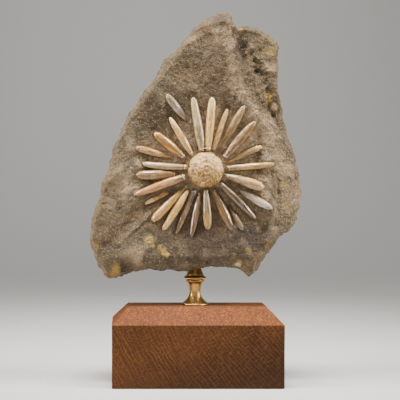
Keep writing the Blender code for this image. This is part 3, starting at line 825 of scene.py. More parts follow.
# %% Shape of a shaft
COLLAR_START, COLLAR_END = 1.5, 2.6   # mm from the base
CAP_WIDTH = 2.4                       # mm from the tip
NUB_WIDTH = 1.3
BASE_ROUND = 0.9
EASING_STEPS = 400
EASING_REACH = 22                     # steps to either side
print("collar from", COLLAR_START, "to", COLLAR_END, "mm")


def smooth_profile(profile, shares):
    """The plain spine's radius at each share, with its corners eased."""
    known = np.array(profile)
    fine = np.linspace(0.0, 1.0, EASING_STEPS + 1)
    radius = np.interp(fine, known[:, 0], known[:, 1])
    window = np.hanning(2 * EASING_REACH + 1)
    padded = np.concatenate([
        np.full(EASING_REACH, radius[1]), radius, np.full(EASING_REACH, radius[-1]),
    ])
    eased = np.convolve(padded, window / window.sum(), mode="valid")
    return np.interp(shares, fine, eased)


def rounded_end(reach, least=0.0):
    """Share of the full radius on a round end, where reach goes from 0 at its very end to 1."""
    return np.sqrt(np.clip(1.0 - np.clip(1.0 - reach, 0.0, 1.0) ** 2, least, 1.0))


def shaft_shape(spine, look, shares):
    """Radius at each share, the plain greatest radius, and masks of collar, grooves and cap line."""
    from_base = shares * spine["length"]
    from_tip = spine["length"] - from_base
    radius = smooth_profile(spine["profile"][1:-1], shares)
    widest = radius.max()
    end_length = 0.75 * np.interp(0.9, shares, radius)
    radius *= rounded_end(from_tip / (1.6 * end_length))
    radius *= rounded_end(from_base / BASE_ROUND, 0.02)
    ring = bump_at(from_base - 0.5 * (COLLAR_START + COLLAR_END), 0.45)
    groove = bump_at(from_base - COLLAR_START + 0.2, 0.35)
    groove += 0.6 * bump_at(from_base - COLLAR_END - 0.4, 0.5)
    radius *= 1.0 + look["collar"] * (0.16 * ring - 0.2 * groove)
    cap_line = bump_at(from_tip - CAP_WIDTH, 0.35)
    radius *= 1.0 - 0.12 * look["cap"] * cap_line
    radius *= 1.0 - 0.35 * look["nub"] * bump_at(from_tip - NUB_WIDTH, 0.6)
    return radius, widest, ring, groove, cap_line


# %% Spine meshes
SPINE_COLUMNS = 48
SPINE_ROWS = 76


def spine_mesh(number, spine, look):
    """One fine spine in place of its plain solid."""
    even = np.linspace(0.0, 1.0, SPINE_ROWS + 2)[1:-1]
    crowded = 0.5 - 0.5 * np.cos(np.linspace(0.0, math.pi, SPINE_ROWS + 2)[1:-1])
    shares = 0.5 * crowded + 0.5 * even
    length, axis = spine["length"], spine["axis"]
    radius, widest, ring, groove, cap_line = shaft_shape(spine, look, shares)

    across = np.cross(axis, (0.0, 1.0, 0.0))
    across /= np.linalg.norm(across)
    outward = np.cross(across, axis)
    turn = np.linspace(0.0, 2.0 * math.pi, SPINE_COLUMNS, endpoint=False)
    bow = look["bend"] * np.sin(math.pi * shares)
    centres = spine["base"] + np.outer(shares * length, axis) + np.outer(bow, across)
    spokes = np.outer(np.cos(turn), across) + np.outer(np.sin(turn), outward)
    rings = centres[:, None, :] + radius[:, None, None] * spokes[None, :, :]
    made = closed_skin(f"urchin_spine_{number:02d}", rings, spine["base"], spine["tip"])

    points = places(made.data)
    share = np.concatenate([np.repeat(shares, SPINE_COLUMNS), [0.0, 1.0]])
    angle = np.concatenate([np.tile(turn, SPINE_ROWS), [0.0, 0.0]])
    from_axis = points - spine["base"]
    local = np.stack([share * length, from_axis @ across, from_axis @ outward], axis=1)
    lengthwise = unevenness(local * np.array([0.12, 1.0, 1.0]) + 40.0 * number, 0.9, 2, number)
    lumpy = unevenness(local + 60.0 * number, 4.0, 3, number)
    shaft = smooth_step(0.08, 0.16, share) * (1.0 - smooth_step(0.94, 1.0, share))
    relief = look["lines"] * lengthwise * shaft + look["rough"] * 1.6 * lumpy * (0.4 + 0.6 * shaft)
    hollow = np.clip(-2.2 * relief, 0.0, 0.5) + look["collar"] * np.interp(share, shares, groove)
    hollow += look["cap"] * np.interp(share, shares, cap_line)
    for pit_share, pit_degrees, pit_size in look["pits"]:
        aside = np.angle(np.exp(1j * (angle - math.radians(pit_degrees)))) * widest
        pit = bump_at(np.hypot((share - pit_share) * length, aside), pit_size)
        relief -= 0.7 * pit_size * pit
        hollow += 1.3 * pit
    put(made.data, points + normals(made.data) * relief[:, None])
    point_value(made.data, "along", share)
    point_value(made.data, "hollow", np.clip(hollow, 0.0, 1.0))
    point_value(made.data, "collar", look["collar"] * np.interp(share, shares, ring))
    point_value(made.data, "flank", np.sin(angle) * 0.5 + 0.5)
    point_vector(made.data, "grain_place", local)
    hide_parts(f"spine_{number:02d}")
    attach(made, "root")
    return made


fine_spines = {
    number: spine_mesh(number, spine, SPINE_LOOKS[number]) for number, spine in SPINES.items()
}
print("spines:", sum(len(made.data.polygons) for made in fine_spines.values()), "faces in all")

# %% [markdown]
# ## The brass post
# The post was turned on a lathe, so its outline is a list of heights and radii, closer together where it
# curves. A ring of points at each height gives the same round form as the lathe did. Smooth shading
# rounds the curves, and edges that turn by more than fifty degrees are marked sharp, so the rings and
# the ferrule keep their crisp corners.

# %% Post mesh
POST_COLUMNS = 96
SHARP_CORNER = math.radians(50.0)
POST_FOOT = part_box("brass_post")[0][2] / MM
POST_X = -1.0
POST_OUTLINE = [
    (0.0, 10.7), (0.15, 11.0), (0.75, 11.0), (0.95, 10.85),
    (1.5, 10.1), (2.3, 9.1), (3.3, 7.95), (4.3, 7.0), (5.3, 6.15), (6.4, 5.5), (7.9, 4.9),
    (9.4, 4.65), (11.0, 4.72), (12.6, 4.98), (14.2, 5.35), (16.0, 5.8), (17.6, 6.3), (18.7, 7.0),
    (18.9, 7.55), (19.1, 7.7), (20.3, 7.75), (20.55, 7.6), (20.65, 7.7), (20.8, 8.2),
    (21.2, 8.9), (21.7, 9.3), (22.2, 9.4), (22.7, 9.3), (23.3, 8.85), (23.8, 8.1), (24.05, 7.3),
    (24.3, 6.95), (24.6, 6.95), (24.9, 7.05), (25.4, 6.85), (26.6, 6.3), (28.0, 5.7),
    (29.5, 5.2), (31.0, 5.05), (32.3, 5.0), (32.4, 4.9), (32.45, 2.8), (45.2, 2.8), (45.4, 2.5),
]
POST_GROOVES = [(24.4, 0.5), (20.6, 0.35), (18.7, 0.35)]   # height, width: where polish stays
print("post outline:", len(POST_OUTLINE), "points")


def make_post():
    """The turned post as rings from the flange to the pin."""
    turn = np.linspace(0.0, 2.0 * math.pi, POST_COLUMNS, endpoint=False)
    rings = np.array([
        np.stack([
            POST_X + radius * np.cos(turn),
            radius * np.sin(turn),
            np.full(POST_COLUMNS, POST_FOOT + height),
        ], axis=1)
        for height, radius in POST_OUTLINE
    ])
    made = closed_skin(
        "turned_post", rings[:, ::-1],
        (POST_X, 0.0, POST_FOOT),
        (POST_X, 0.0, POST_FOOT + POST_OUTLINE[-1][0]),
    )
    made.data.set_sharp_from_angle(angle=SHARP_CORNER)
    height = places(made.data)[:, 2] - POST_FOOT
    grooves = sum(bump_at(height - groove, width) for groove, width in POST_GROOVES)
    point_value(made.data, "hollow", np.clip(grooves, 0.0, 1.0))
    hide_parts("brass_post")
    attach(made, "root")
    return made


post = make_post()
print("post:", len(post.data.polygons), "faces")

# %% [markdown]
# ## The wooden block
# A sawn and sanded block with one wide chamfer round its top. Sanding leaves no edge truly sharp, so a
# small rounded bevel follows every edge and catches a line of light. A bevel modifier does this, and
# leaves the block itself a matter of twelve corners.

# %% Block mesh
BLOCK_LOW, BLOCK_HIGH = (np.array(corner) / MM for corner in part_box("base_block"))
CHAMFER_ACROSS = 13.5
CHAMFER_DOWN = 14.0
SANDED_EDGE = 0.7
SANDED_STEPS = 3
SANDED_ABOVE = math.radians(20.0)    # edges flatter than this stay as they are


def make_block():
    """The chamfered block, with rounded edges."""
    low_x, low_y, low_z = BLOCK_LOW
    high_x, high_y, high_z = BLOCK_HIGH
    rings = []
    for inset, height in ((0.0, low_z), (0.0, high_z - CHAMFER_DOWN), (CHAMFER_ACROSS, high_z)):
        rings.append([
            (low_x + inset, low_y + inset, height), (high_x - inset, low_y + inset, height),
            (high_x - inset, high_y - inset, height), (low_x + inset, high_y - inset, height),
        ])
    points = (np.array(rings).reshape(-1, 3) * MM).tolist()
    faces = [(3, 2, 1, 0), (8, 9, 10, 11)]
    for row in (0, 4):
        for side in range(4):
            after = (side + 1) % 4
            faces.append((row + side, row + after, row + after + 4, row + side + 4))
    mesh = bpy.data.meshes.new("chamfered_block")
    mesh.from_pydata(points, [], faces)
    made = bpy.data.objects.new("chamfered_block", mesh)
    bpy.context.scene.collection.objects.link(made)
    sanded = made.modifiers.new("sanded_edges", "BEVEL")
    sanded.width = SANDED_EDGE * MM
    sanded.segments = SANDED_STEPS
    sanded.limit_method = "ANGLE"
    sanded.angle_limit = SANDED_ABOVE
    sanded.harden_normals = True
    mesh.shade_smooth()
    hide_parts("base_block")
    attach(made, "root")
    return made


block = make_block()
print("block:", [round(float(value), 1) for value in BLOCK_HIGH - BLOCK_LOW], "mm")

# %% [markdown]
# ## Shader helpers
# Materials are graphs of nodes. Small functions keep them readable: one adds a node and either sets or
# links each of its inputs, one mixes two colours, and one lays a tint over a colour where a mask says so.
# Effects that several finishes share are node groups with named sockets, built once: soft patches of a
# given size, a sandy grain, and a round stain.

# %% Colours
GLOSS_BALANCE = (1.08, 1.04, 0.68)   # what soft light and gloss would otherwise shift


def linear(red, green, blue):
    """Linear RGBA from 8-bit sRGB."""
    values = []
    for channel in (red, green, blue):
        share = channel / 255.0
        values.append(share / 12.92 if share <= 0.04045 else ((share + 0.055) / 1.055) ** 2.4)
    return (*values, 1.0)


def deepened(rgb, shade=1.0, power=1.5):
    """A colour as it looks in the hand, deepened to make up for gloss and light from all round."""
    raw = [shade * share * channel**power for share, channel in zip(GLOSS_BALANCE, linear(*rgb))]
    return (*(value / max(1.0, *raw) for value in raw), 1.0)


print("middle grey in linear light:", round(linear(128, 128, 128)[0], 3))


# %% Nodes, mixes and sums
def add(tree, kind, inputs=None, **settings):
    """A new node. Each input is set to a value, or linked if it is given a socket."""
    made = tree.nodes.new(kind)
    for key, value in settings.items():
        setattr(made, key, value)
    for key, value in (inputs or {}).items():
        if isinstance(value, bpy.types.NodeSocket):
            tree.links.new(value, made.inputs[key])
        else:
            made.inputs[key].default_value = value
    return made


def mix(tree, factor, first, second, blend="MIX"):
    """The colour between two colours."""
    inputs = {0: factor, 6: first, 7: second}
    return add(tree, "ShaderNodeMix", inputs, data_type="RGBA", blend_type=blend).outputs[2]


def lay(tree, colour, mask, share, tint, blend="MIX"):
    """The colour with a tint laid over it where the mask is, at most by this share."""
    return mix(tree, maths(tree, "MULTIPLY", mask, share), colour, tint, blend)


def maths(tree, operation, *values):
    """One step of arithmetic on one, two or three numbers."""
    return add(tree, "ShaderNodeMath", dict(enumerate(values)), operation=operation).outputs[0]


def vector_maths(tree, operation, first, second):
    """One step of arithmetic on two vectors."""
    return add(tree, "ShaderNodeVectorMath", {0: first, 1: second}, operation=operation).outputs[0]


def span(tree, value, low, high, to_low=0.0, to_high=1.0):
    """Maps low..high to to_low..to_high with an S curve."""
    made = add(
        tree, "ShaderNodeMapRange",
        {"Value": value, "From Min": low, "From Max": high, "To Min": to_low, "To Max": to_high},
        interpolation_type="SMOOTHSTEP",
    )
    return made.outputs["Result"]


print("helpers: add, mix, lay, maths, vector_maths, span")


# %% Groups for patches and grit
def new_group(name, inputs, outputs):
    """An empty node group with these sockets, and its inside nodes for input and output."""
    group = bpy.data.node_groups.new(name, "ShaderNodeTree")
    for socket_name, kind, default in inputs:
        socket = group.interface.new_socket(socket_name, in_out="INPUT", socket_type=kind)
        if default is not None:
            socket.default_value = default
    for socket_name, kind in outputs:
        group.interface.new_socket(socket_name, in_out="OUTPUT", socket_type=kind)
    return group, group.nodes.new("NodeGroupInput").outputs, group.nodes.new("NodeGroupOutput")


def in_units(group, place, size):
    """The place measured in units of this size, so that one noise serves every scale."""
    scaled = add(group, "ShaderNodeVectorMath", {0: place}, operation="SCALE")
    group.links.new(maths(group, "DIVIDE", 1.0, size), scaled.inputs["Scale"])
    return scaled.outputs[0]


def patches_group():
    """Soft ragged patches of one size: a mask from 0 to 1."""
    group, given, result = new_group(
        "patches",
        [("Place", "NodeSocketVector", None), ("Size", "NodeSocketFloat", 0.01),
         ("Raggedness", "NodeSocketFloat", 3.0), ("Low", "NodeSocketFloat", 0.4),
         ("High", "NodeSocketFloat", 0.6)],
        [("Mask", "NodeSocketFloat")],
    )
    cloud = add(group, "ShaderNodeTexNoise", {
        "Vector": in_units(group, given["Place"], given["Size"]),
        "Scale": 1.0, "Detail": given["Raggedness"], "Roughness": 0.6,
    })
    group.links.new(span(group, cloud.outputs["Fac"], given["Low"], given["High"]), result.inputs["Mask"])
    return group


def grit_group():
    """Sandy grain: a height for bump, and masks of pale and dark grains."""
    group, given, result = new_group(
        "grit",
        [("Place", "NodeSocketVector", None), ("Grain Size", "NodeSocketFloat", 0.001)],
        [("Height", "NodeSocketFloat"), ("Pale", "NodeSocketFloat"), ("Dark", "NodeSocketFloat")],
    )
    place = in_units(group, given["Place"], given["Grain Size"])
    grains = add(group, "ShaderNodeTexNoise", {
        "Vector": place, "Scale": 1.0, "Detail": 2.5, "Roughness": 0.7,
    })
    cells = add(group, "ShaderNodeTexVoronoi", {"Vector": place, "Scale": 0.55})
    packed = maths(group, "MULTIPLY_ADD", cells.outputs["Distance"], -0.5, 0.4)
    group.links.new(maths(group, "ADD", grains.outputs["Fac"], packed), result.inputs["Height"])
    group.links.new(span(group, grains.outputs["Fac"], 0.55, 0.72), result.inputs["Pale"])
    group.links.new(span(group, grains.outputs["Fac"], 0.45, 0.3), result.inputs["Dark"])
    return group


PATCHES = patches_group()
GRIT = grit_group()
print("groups:", PATCHES.name, GRIT.name)


# %% Group for stains
def stain_group():
    """A ragged stain at one place, long from front to back so that it reaches the uneven surface."""
    group, given, result = new_group(
        "stain",
        [("Place", "NodeSocketVector", None), ("Centre", "NodeSocketVector", None),
         ("Radius", "NodeSocketFloat", 0.005), ("Wander", "NodeSocketFloat", 0.5)],
        [("Mask", "NodeSocketFloat")],
    )
    offset = vector_maths(group, "SUBTRACT", given["Place"], given["Centre"])
    flat = vector_maths(group, "MULTIPLY", offset, (1.0, 0.3, 1.0))
    distance = add(group, "ShaderNodeVectorMath", {0: flat}, operation="LENGTH")
    share = maths(group, "DIVIDE", distance.outputs["Value"], given["Radius"])
    ragged = add(group, "ShaderNodeTexNoise", {
        "Vector": given["Place"], "Scale": 260.0, "Detail": 3.0, "Roughness": 0.65,
    })
    centred = maths(group, "SUBTRACT", ragged.outputs["Fac"], 0.5)
    pushed = maths(group, "MULTIPLY", centred, given["Wander"])
    edge = maths(group, "ADD", share, maths(group, "MULTIPLY", pushed, 4.0))
    group.links.new(span(group, edge, 1.0, 0.35), result.inputs["Mask"])
    return group


STAIN = stain_group()
print("group:", STAIN.name, "with", len(STAIN.nodes), "nodes")


# %% Groups put to use
def use(tree, group, **inputs):
    """Places a node group. Underscores in names stand for spaces."""
    made = add(tree, "ShaderNodeGroup", node_tree=group)
    for key, value in inputs.items():
        socket = made.inputs[key.replace("_", " ")]
        if isinstance(value, bpy.types.NodeSocket):
            tree.links.new(value, socket)
        else:
            socket.default_value = value
    return made.outputs


def patches(tree, place, size, low=0.4, high=0.6, raggedness=3.0):
    """Mask of soft patches."""
    return use(tree, PATCHES, Place=place, Size=size, Raggedness=raggedness, Low=low, High=high)["Mask"]


def stain(tree, place, x, z, radius, wander, y=-16.0):
    """Mask of one stain, with its centre and radius in millimetres."""
    centre = (x * MM, y * MM, z * MM)
    return use(tree, STAIN, Place=place, Centre=centre, Radius=radius * MM, Wander=wander)["Mask"]


print("helpers: use, patches, stain")


# %% Beginning and end of a finish
def new_finish(name, roughness, metallic=0.0):
    """A material's tree, its Principled shader, and its place socket in metres."""
    made = bpy.data.materials.new(name)
    made.use_nodes = True
    tree = made.node_tree
    shader = tree.nodes["Principled BSDF"]
    shader.inputs["Roughness"].default_value = roughness
    shader.inputs["Metallic"].default_value = metallic
    place = add(tree, "ShaderNodeTexCoord").outputs["Object"]
    return made, tree, shader, place


def value_of(tree, name):
    """The value stored on each point under this name."""
    return add(tree, "ShaderNodeAttribute", attribute_name=name).outputs["Fac"]


def connect(tree, shader, **results):
    """Links each result to the shader's input of that name. Underscores stand for spaces."""
    for name, result in results.items():
        tree.links.new(result, shader.inputs[name.replace("_", " ")])


def bump(tree, height, distance, strength=1.0, before=None):
    """The normal after a bump of this depth in metres."""
    inputs = {"Height": height, "Distance": distance, "Strength": strength}
    if before is not None:
        inputs["Normal"] = before
    return add(tree, "ShaderNodeBump", inputs).outputs["Normal"]


print("helpers: new_finish, value_of, connect, bump")

# %% [markdown]
# ## Stone
# The matrix is a grey-brown silty stone. Seen close it is sand: pale and dark grains side by side. Broad
# patches run from warm to grey, and soft round tones, laid on one over another, make it lighter here and
# darker there. Some tones are the stone's own colour, and some are painted shade and painted light laid
# over the relief. Hollows are darker, partly with dust and partly as painted shade, worn rims are paler,
# and iron has left a few ochre stains. All of it is worked out from the place in space, so nothing has to
# be unwrapped, and no seam shows where the front turns into the rim.

# %% Stains and tones of the stone
OCHRE_STAINS = [  # x, z in mm, radius in mm, strength
    (-39.9, 121.2, 4.4, 0.8), (-37.4, 117, 3.4, 0.7), (-31.1, 115.6, 2.8, 0.6),
    (-28.1, 112.8, 3.6, 0.85), (-25.8, 109, 3.4, 0.8), (-67.1, 98.4, 5.4, 0.6), (-85.1, 115.6, 5, 0.3),
    (-67.9, 92.7, 7, 0.35), (57.9, 240, 4.2, 0.7), (58.4, 235, 3.4, 0.6), (35.4, 293, 3.2, 0.6),
    (37.6, 98.4, 3, 0.25), (40.9, 113.2, 4.4, 0.3), (57.3, 118.9, 4.5, 0.2), (60.6, 276.8, 6, 0.25),
    (54.8, 275.1, 3, 0.3), (70.4, 166.3, 4, 0.35), (73.6, 150, 5, 0.35), (33.6, 104, 2.6, 0.4),
    (28.4, 99.5, 3, 0.35),
]
# Some tones are the stone's own colour. Many umber and deep spots are painted shade, in the gully,
# between the spines and on the knob, and many sand spots are painted light, in the shaded gaps between
# the spines and on the left middle.
TONES = [  # broad changes of shade in the order they are laid on: x, z, radius in mm, strength
    ("umber", [
        (4, 118, 27, 0.9), (-20, 106, 16, 0.6), (26, 118, 16, 0.6), (43, 121, 16, 1),
        (-36, 226, 19, 0.5), (-70, 122, 14, 0.5), (-80, 115, 11, 0.5), (35, 274, 8, 1), (19, 302, 9, 1),
        (-50, 136, 9, 0.45), (57, 236, 10, 0.7), (10, 270, 13, 0.4), (42, 252, 9, 0.5),
        (56, 275, 9, 0.5),
    ]),
    ("deep", [
        (43, 119, 14, 0.7), (40, 130, 9, 0.5), (-76, 112, 10, 0.45), (35, 273, 7, 0.5),
        (10, 274, 8, 0.2), (57, 241, 6, 0.4), (55, 226, 4, 0.3), (4, 116, 26, 0.35), (30, 120, 13, 0.4),
        (60, 108, 9, 0.4), (55, 124, 8, 0.9),
    ]),
    ("umber", [(-66, 92, 10, 0.3)]),
    ("deep", [
        (39, 113, 10, 0.6), (-22, 112, 12, 0.3), (0, 112, 14, 0.2), (37, 286, 7, 0.5), (38, 262, 6, 0.3),
    ]),
    ("sand", [
        (8, 181, 46, 0.58), (30, 198, 26, 0.3), (-34, 196, 20, 0.35), (-60, 166, 19, 0.55),
        (-56, 207, 8, 0.3), (60, 196, 18, 0.4), (49, 214, 15, 0.8), (43, 226, 9, 0.7), (51, 212, 9, 0.7),
        (30, 248, 9, 0.6), (-54, 108, 12, 0.4), (78, 156, 19, 0.3), (54, 170, 12, 0.5),
        (18, 289, 9, 0.6), (60, 261, 8, 0.5), (-5, 283, 7, 0.5), (-47, 183, 8, 0.6), (-53, 173, 7, 0.5),
        (-20, 191, 9, 0.4), (-18, 250, 10, 0.25), (-2, 252, 9, 0.25),
    ]),
    ("moss", [
        (54, 270, 15, 0.35), (58, 284, 8, 0.4), (-46, 252, 12, 0.35), (-88, 130, 7, 0.5),
        (70, 120, 7, 0.5),
    ]),
    ("rust", [(-72, 92, 8, 0.6), (14, 276, 6, 0.3), (-48, 98, 6, 0.4)]),
    ("chalk", [(33.3, 101, 3.6, 0.8), (30, 110, 2.6, 0.4)]),
    ("deep", [(35, 279, 9, 0.7), (38, 122, 20, 0.75), (18.5, 193, 6, 0.5), (55, 126, 10, 0.5)]),
    ("umber", [(35, 184, 6, 0.6)]),
    ("sand", [(42, 276, 4, 0.7)]),
    ("umber", [
        (-40, 144, 9, 0.6), (-58, 131, 9, 0.6), (-66, 114, 9, 0.4), (-35, 217, 11, 0.45),
        (-18, 256, 8, 0.4), (18, 272, 9, 0.6), (13, 245, 9, 0.5), (47, 256, 8, 0.6), (54, 232, 8, 0.7),
        (-54, 157, 7, 0.7), (63, 171, 7, 0.6),
    ]),
    ("sand", [
        (37, 239, 7, 0.9), (24, 294, 5, 0.6), (26, 282, 6, 0.7), (28, 261, 5, 0.6), (56, 262, 5, 0.5),
        (62, 230, 4, 0.8), (44, 219, 12, 0.7), (13, 225, 9, 0.6), (25, 219, 9, 0.6), (54, 205, 14, 0.8),
        (-54, 198, 7, 0.5), (-25, 187, 9, 0.5), (-14, 162, 7, 0.7), (-3, 163, 5, 0.9), (56, 158, 6, 0.8),
        (58, 181, 6, 0.4), (71, 179, 11, 0.6), (-72, 152, 7, 0.4), (-28, 236, 8, 0.5),
    ]),
]
STONE_COLOURS = {
    "warm": (95, 76, 52), "olive": (84, 73, 54), "pale": (132, 116, 89), "mauve": (90, 73, 60),
    "umber": (62, 46, 30), "ochre": (168, 134, 54), "dust_and_shade": (40, 31, 22), "worn rim": (99, 83, 60),
    "pale grain": (176, 160, 134), "dark grain": (30, 24, 18), "moss": (98, 91, 58),
    "rust": (112, 78, 44), "chalk": (196, 178, 132), "sand": (172, 147, 115),
    "deep": (44, 32, 20),
}
TONE_SPOTS = sum(len(spots) for _, spots in TONES)
print("stone colours:", len(STONE_COLOURS), "stains:", len(OCHRE_STAINS), "tones:", TONE_SPOTS)

# %% Matrix finish
FINE_GRAIN = 0.0012     # metres
COARSE_GRAIN = 0.0027


def matrix_finish():
    """Sandy grey-brown stone."""
    made, tree, shader, place = new_finish("matrix_sandstone", 0.92)
    tint = {name: linear(*rgb) for name, rgb in STONE_COLOURS.items()}
    colour = mix(tree, patches(tree, place, 0.030, 0.38, 0.62), tint["warm"], tint["olive"])
    colour = lay(tree, colour, value_of(tree, "crest"), 0.45, tint["sand"])
    # The tones: the stone's own colour, with painted shade and painted light among them.
    for tone, spots in TONES:
        for x, z, radius, strength in spots:
            colour = lay(tree, colour, stain(tree, place, x, z, radius, 0.35), strength, tint[tone])
    colour = lay(tree, colour, patches(tree, place, 0.011, 0.5, 0.7, 3.0), 0.3, tint["pale"])
    colour = lay(tree, colour, patches(tree, place, 0.014, 0.52, 0.72, 3.0), 0.5, tint["mauve"])
    for x, z, radius, strength in OCHRE_STAINS:
        colour = lay(tree, colour, stain(tree, place, x, z, radius, 0.5), strength, tint["ochre"])
    colour = lay(tree, colour, value_of(tree, "rim"), 0.25, tint["worn rim"])
    # Hollows darker: partly dust, partly painted shade.
    colour = lay(tree, colour, value_of(tree, "hollow"), 0.45, tint["dust_and_shade"])
    grit = use(tree, GRIT, Place=place, Grain_Size=FINE_GRAIN)
    coarse = use(tree, GRIT, Place=place, Grain_Size=COARSE_GRAIN)
    foot = stain(tree, place, 6.0, 118.0, 32.0, 0.4)
    corner = stain(tree, place, 42.0, 124.0, 36.0, 0.3)
    pale_share = span(tree, maths(tree, "MAXIMUM", foot, corner), 0.0, 1.0, 0.5, 0.16)
    outer = stain(tree, place, 79.0, 156.0, 34.0, 0.3, y=-10.0)
    colour = lay(tree, colour, coarse["Dark"], 0.12, tint["dark grain"])
    speckle = maths(tree, "MULTIPLY_ADD", outer, 0.55, 0.1)
    colour = lay(tree, colour, coarse["Pale"], speckle, tint["pale grain"])
    colour = lay(tree, colour, grit["Pale"], pale_share, tint["pale grain"])
    colour = lay(tree, colour, grit["Dark"], 0.8, tint["dark grain"])
    connect(
        tree, shader, Base_Color=colour, Roughness=span(tree, grit["Pale"], 0.0, 1.0, 0.95, 0.8),
        Normal=bump(tree, grit["Height"], 0.0010, 1.0, bump(tree, coarse["Height"], 0.0008)),
    )
    return made


slab.data.materials.append(matrix_finish())
print("matrix finish:", len(slab.data.materials[0].node_tree.nodes), "nodes")

# %% [markdown]
# ## Worn calcite
# The test is the same mineral as the spines, but weathered dull. It is painted cream towards its top and
# tan below, as painted light from above, and dust has caught in its pits. One flat colour with bump would
# look like plastic, so pale and dark grains lie over it too.


# %% Test finish
def test_finish():
    """Worn calcite: painted light makes it cream above and tan below, with dust in the pits."""
    made, tree, shader, place = new_finish("worn_calcite", 0.62)
    # Painted light from above: cream towards the top, tan below.
    side = value_of(tree, "lit_side")
    colour = mix(tree, side, deepened((178, 150, 110)), deepened((212, 186, 154)))
    colour = mix(tree, patches(tree, place, 0.006, 0.5, 0.66), colour, deepened((226, 194, 178)))
    colour = mix(tree, patches(tree, place, 0.005, 0.52, 0.68, 4.0), colour, deepened((190, 162, 104)))
    grit = use(tree, GRIT, Place=place, Grain_Size=0.0011)
    colour = lay(tree, colour, value_of(tree, "hollow"), 0.9, deepened((118, 92, 58)))
    colour = lay(tree, colour, grit["Pale"], 0.7, deepened((250, 232, 216)))
    colour = lay(tree, colour, grit["Dark"], 0.85, deepened((112, 82, 60)))
    connect(tree, shader, Base_Color=colour, Normal=bump(tree, grit["Height"], 0.0005, 0.9))
    return made


test.data.materials.append(test_finish())
print("test finish:", test.data.materials[0].name)

# %% [markdown]
# ## Calcite spines
# The spines are denser calcite with a satin gloss, which a clear coat over a duller ground gives. Each
# takes its colours from base to tip out of the table, with a ragged band of an accent colour. Its flanks
# are painted paler or darker: a painted highlight along the edges of most spines, and painted shade on a
# few. Fine streaks run lengthwise: the noise is read in the spine's own axes, stretched along it, so the
# streaks turn with each spine.

# %% Spine finishes
STREAK_STRETCH = (0.16, 1.0, 1.0)   # along the spine, across it, out of the stone
CLOUD_STRETCH = (0.45, 1.0, 1.0)
SATIN_COAT = {"Coat Weight": 0.9, "Coat Roughness": 0.14, "Coat IOR": 1.75}


def spine_finish(number, look):
    """The calcite of one spine."""
    made, tree, shader, _ = new_finish(f"spine_calcite_{number:02d}", 0.35)
    for name, value in SATIN_COAT.items():
        shader.inputs[name].default_value = value
    local = add(tree, "ShaderNodeAttribute", attribute_name="grain_place").outputs["Vector"]
    shifted = vector_maths(tree, "ADD", local, (17.0 * number, 9.0, 5.0))
    stretched = vector_maths(tree, "MULTIPLY", shifted, STREAK_STRETCH)
    flow = vector_maths(tree, "MULTIPLY", shifted, CLOUD_STRETCH)
    streaks = patches(tree, stretched, 0.9, 0.44, 0.6)
    clouds = patches(tree, flow, 2.6, 0.42, 0.62, 4.0)
    bleached = patches(tree, flow, 2.1, 0.52, 0.68, 4.0)
    broad = patches(tree, shifted, 8.0, 0.35, 0.65, 2.0)
    specks = patches(tree, shifted, 0.8, 0.6, 0.7, 2.0)
    wander = maths(tree, "MULTIPLY", maths(tree, "SUBTRACT", clouds, 0.5), 0.16)
    ragged_along = maths(tree, "ADD", value_of(tree, "along"), wander)
    # Painted light and shade: the shade value brightens or darkens the spine's colours as well as setting
    # its tone.
    colours = {
        key: deepened(PALETTE[look[key]], look["shade"])
        for key in ("inner", "middle", "tip", "accent", "side")
    }
    umber, bone = deepened(PALETTE["umber"]), deepened(PALETTE["bone"], look["shade"])
    colour = mix(tree, span(tree, ragged_along, 0.12, 0.42), colours["inner"], colours["middle"])
    colour = mix(tree, span(tree, ragged_along, 0.62, 0.92), colour, colours["tip"])
    band_start, band_end = look["band"]
    band = maths(
        tree, "MULTIPLY",
        span(tree, ragged_along, band_start - 0.06, band_start + 0.06),
        span(tree, ragged_along, band_end + 0.06, band_end - 0.06),
    )
    colour = lay(tree, colour, band, 0.75, colours["accent"])
    # Painted highlight and painted shade: the flanks, seen as the spine's edges, take the side colour.
    flank = span(tree, maths(tree, "ADD", value_of(tree, "flank"), wander), 0.95, 0.7)
    colour = lay(tree, colour, flank, 0.45, colours["side"])
    worn = 1.0 / max(1.0, look["shade"] - 0.6)   # a pale spine has weaker clouds
    colour = lay(tree, colour, broad, 0.4 * worn, deepened((176, 150, 112)), "MULTIPLY")
    colour = lay(tree, colour, clouds, 0.6 * worn, deepened((196, 168, 136)), "MULTIPLY")
    colour = lay(tree, colour, bleached, 0.2, bone)
    colour = lay(tree, colour, streaks, 0.45, umber)
    colour = lay(tree, colour, specks, 0.4, umber)
    colour = lay(tree, colour, value_of(tree, "hollow"), 0.85, linear(60, 42, 30))
    # Painted highlight: the raised collar ring is painted pale where it catches the light.
    colour = lay(tree, colour, value_of(tree, "collar"), 0.75, linear(226, 200, 160))
    connect(
        tree, shader, Base_Color=colour, Roughness=span(tree, clouds, 0.0, 1.0, 0.26, 0.44),
        Normal=bump(tree, streaks, 0.00012, 0.6),
    )
    return made


for number, made in fine_spines.items():
    made.data.materials.append(spine_finish(number, SPINE_LOOKS[number]))
print("spine finishes:", len(fine_spines))

# %% [markdown]
# ## Brass
# Polished brass is nearly all reflection, so its colour is the tint of that reflection. Fine rings from
# the lathe roughen it in one direction, and the grooves keep a little dark polish. The rings are far too
# fine for the mesh, so they are a bump that depends on the height alone.

# %% Brass finish
RINGS_PER_METRE = 5200.0


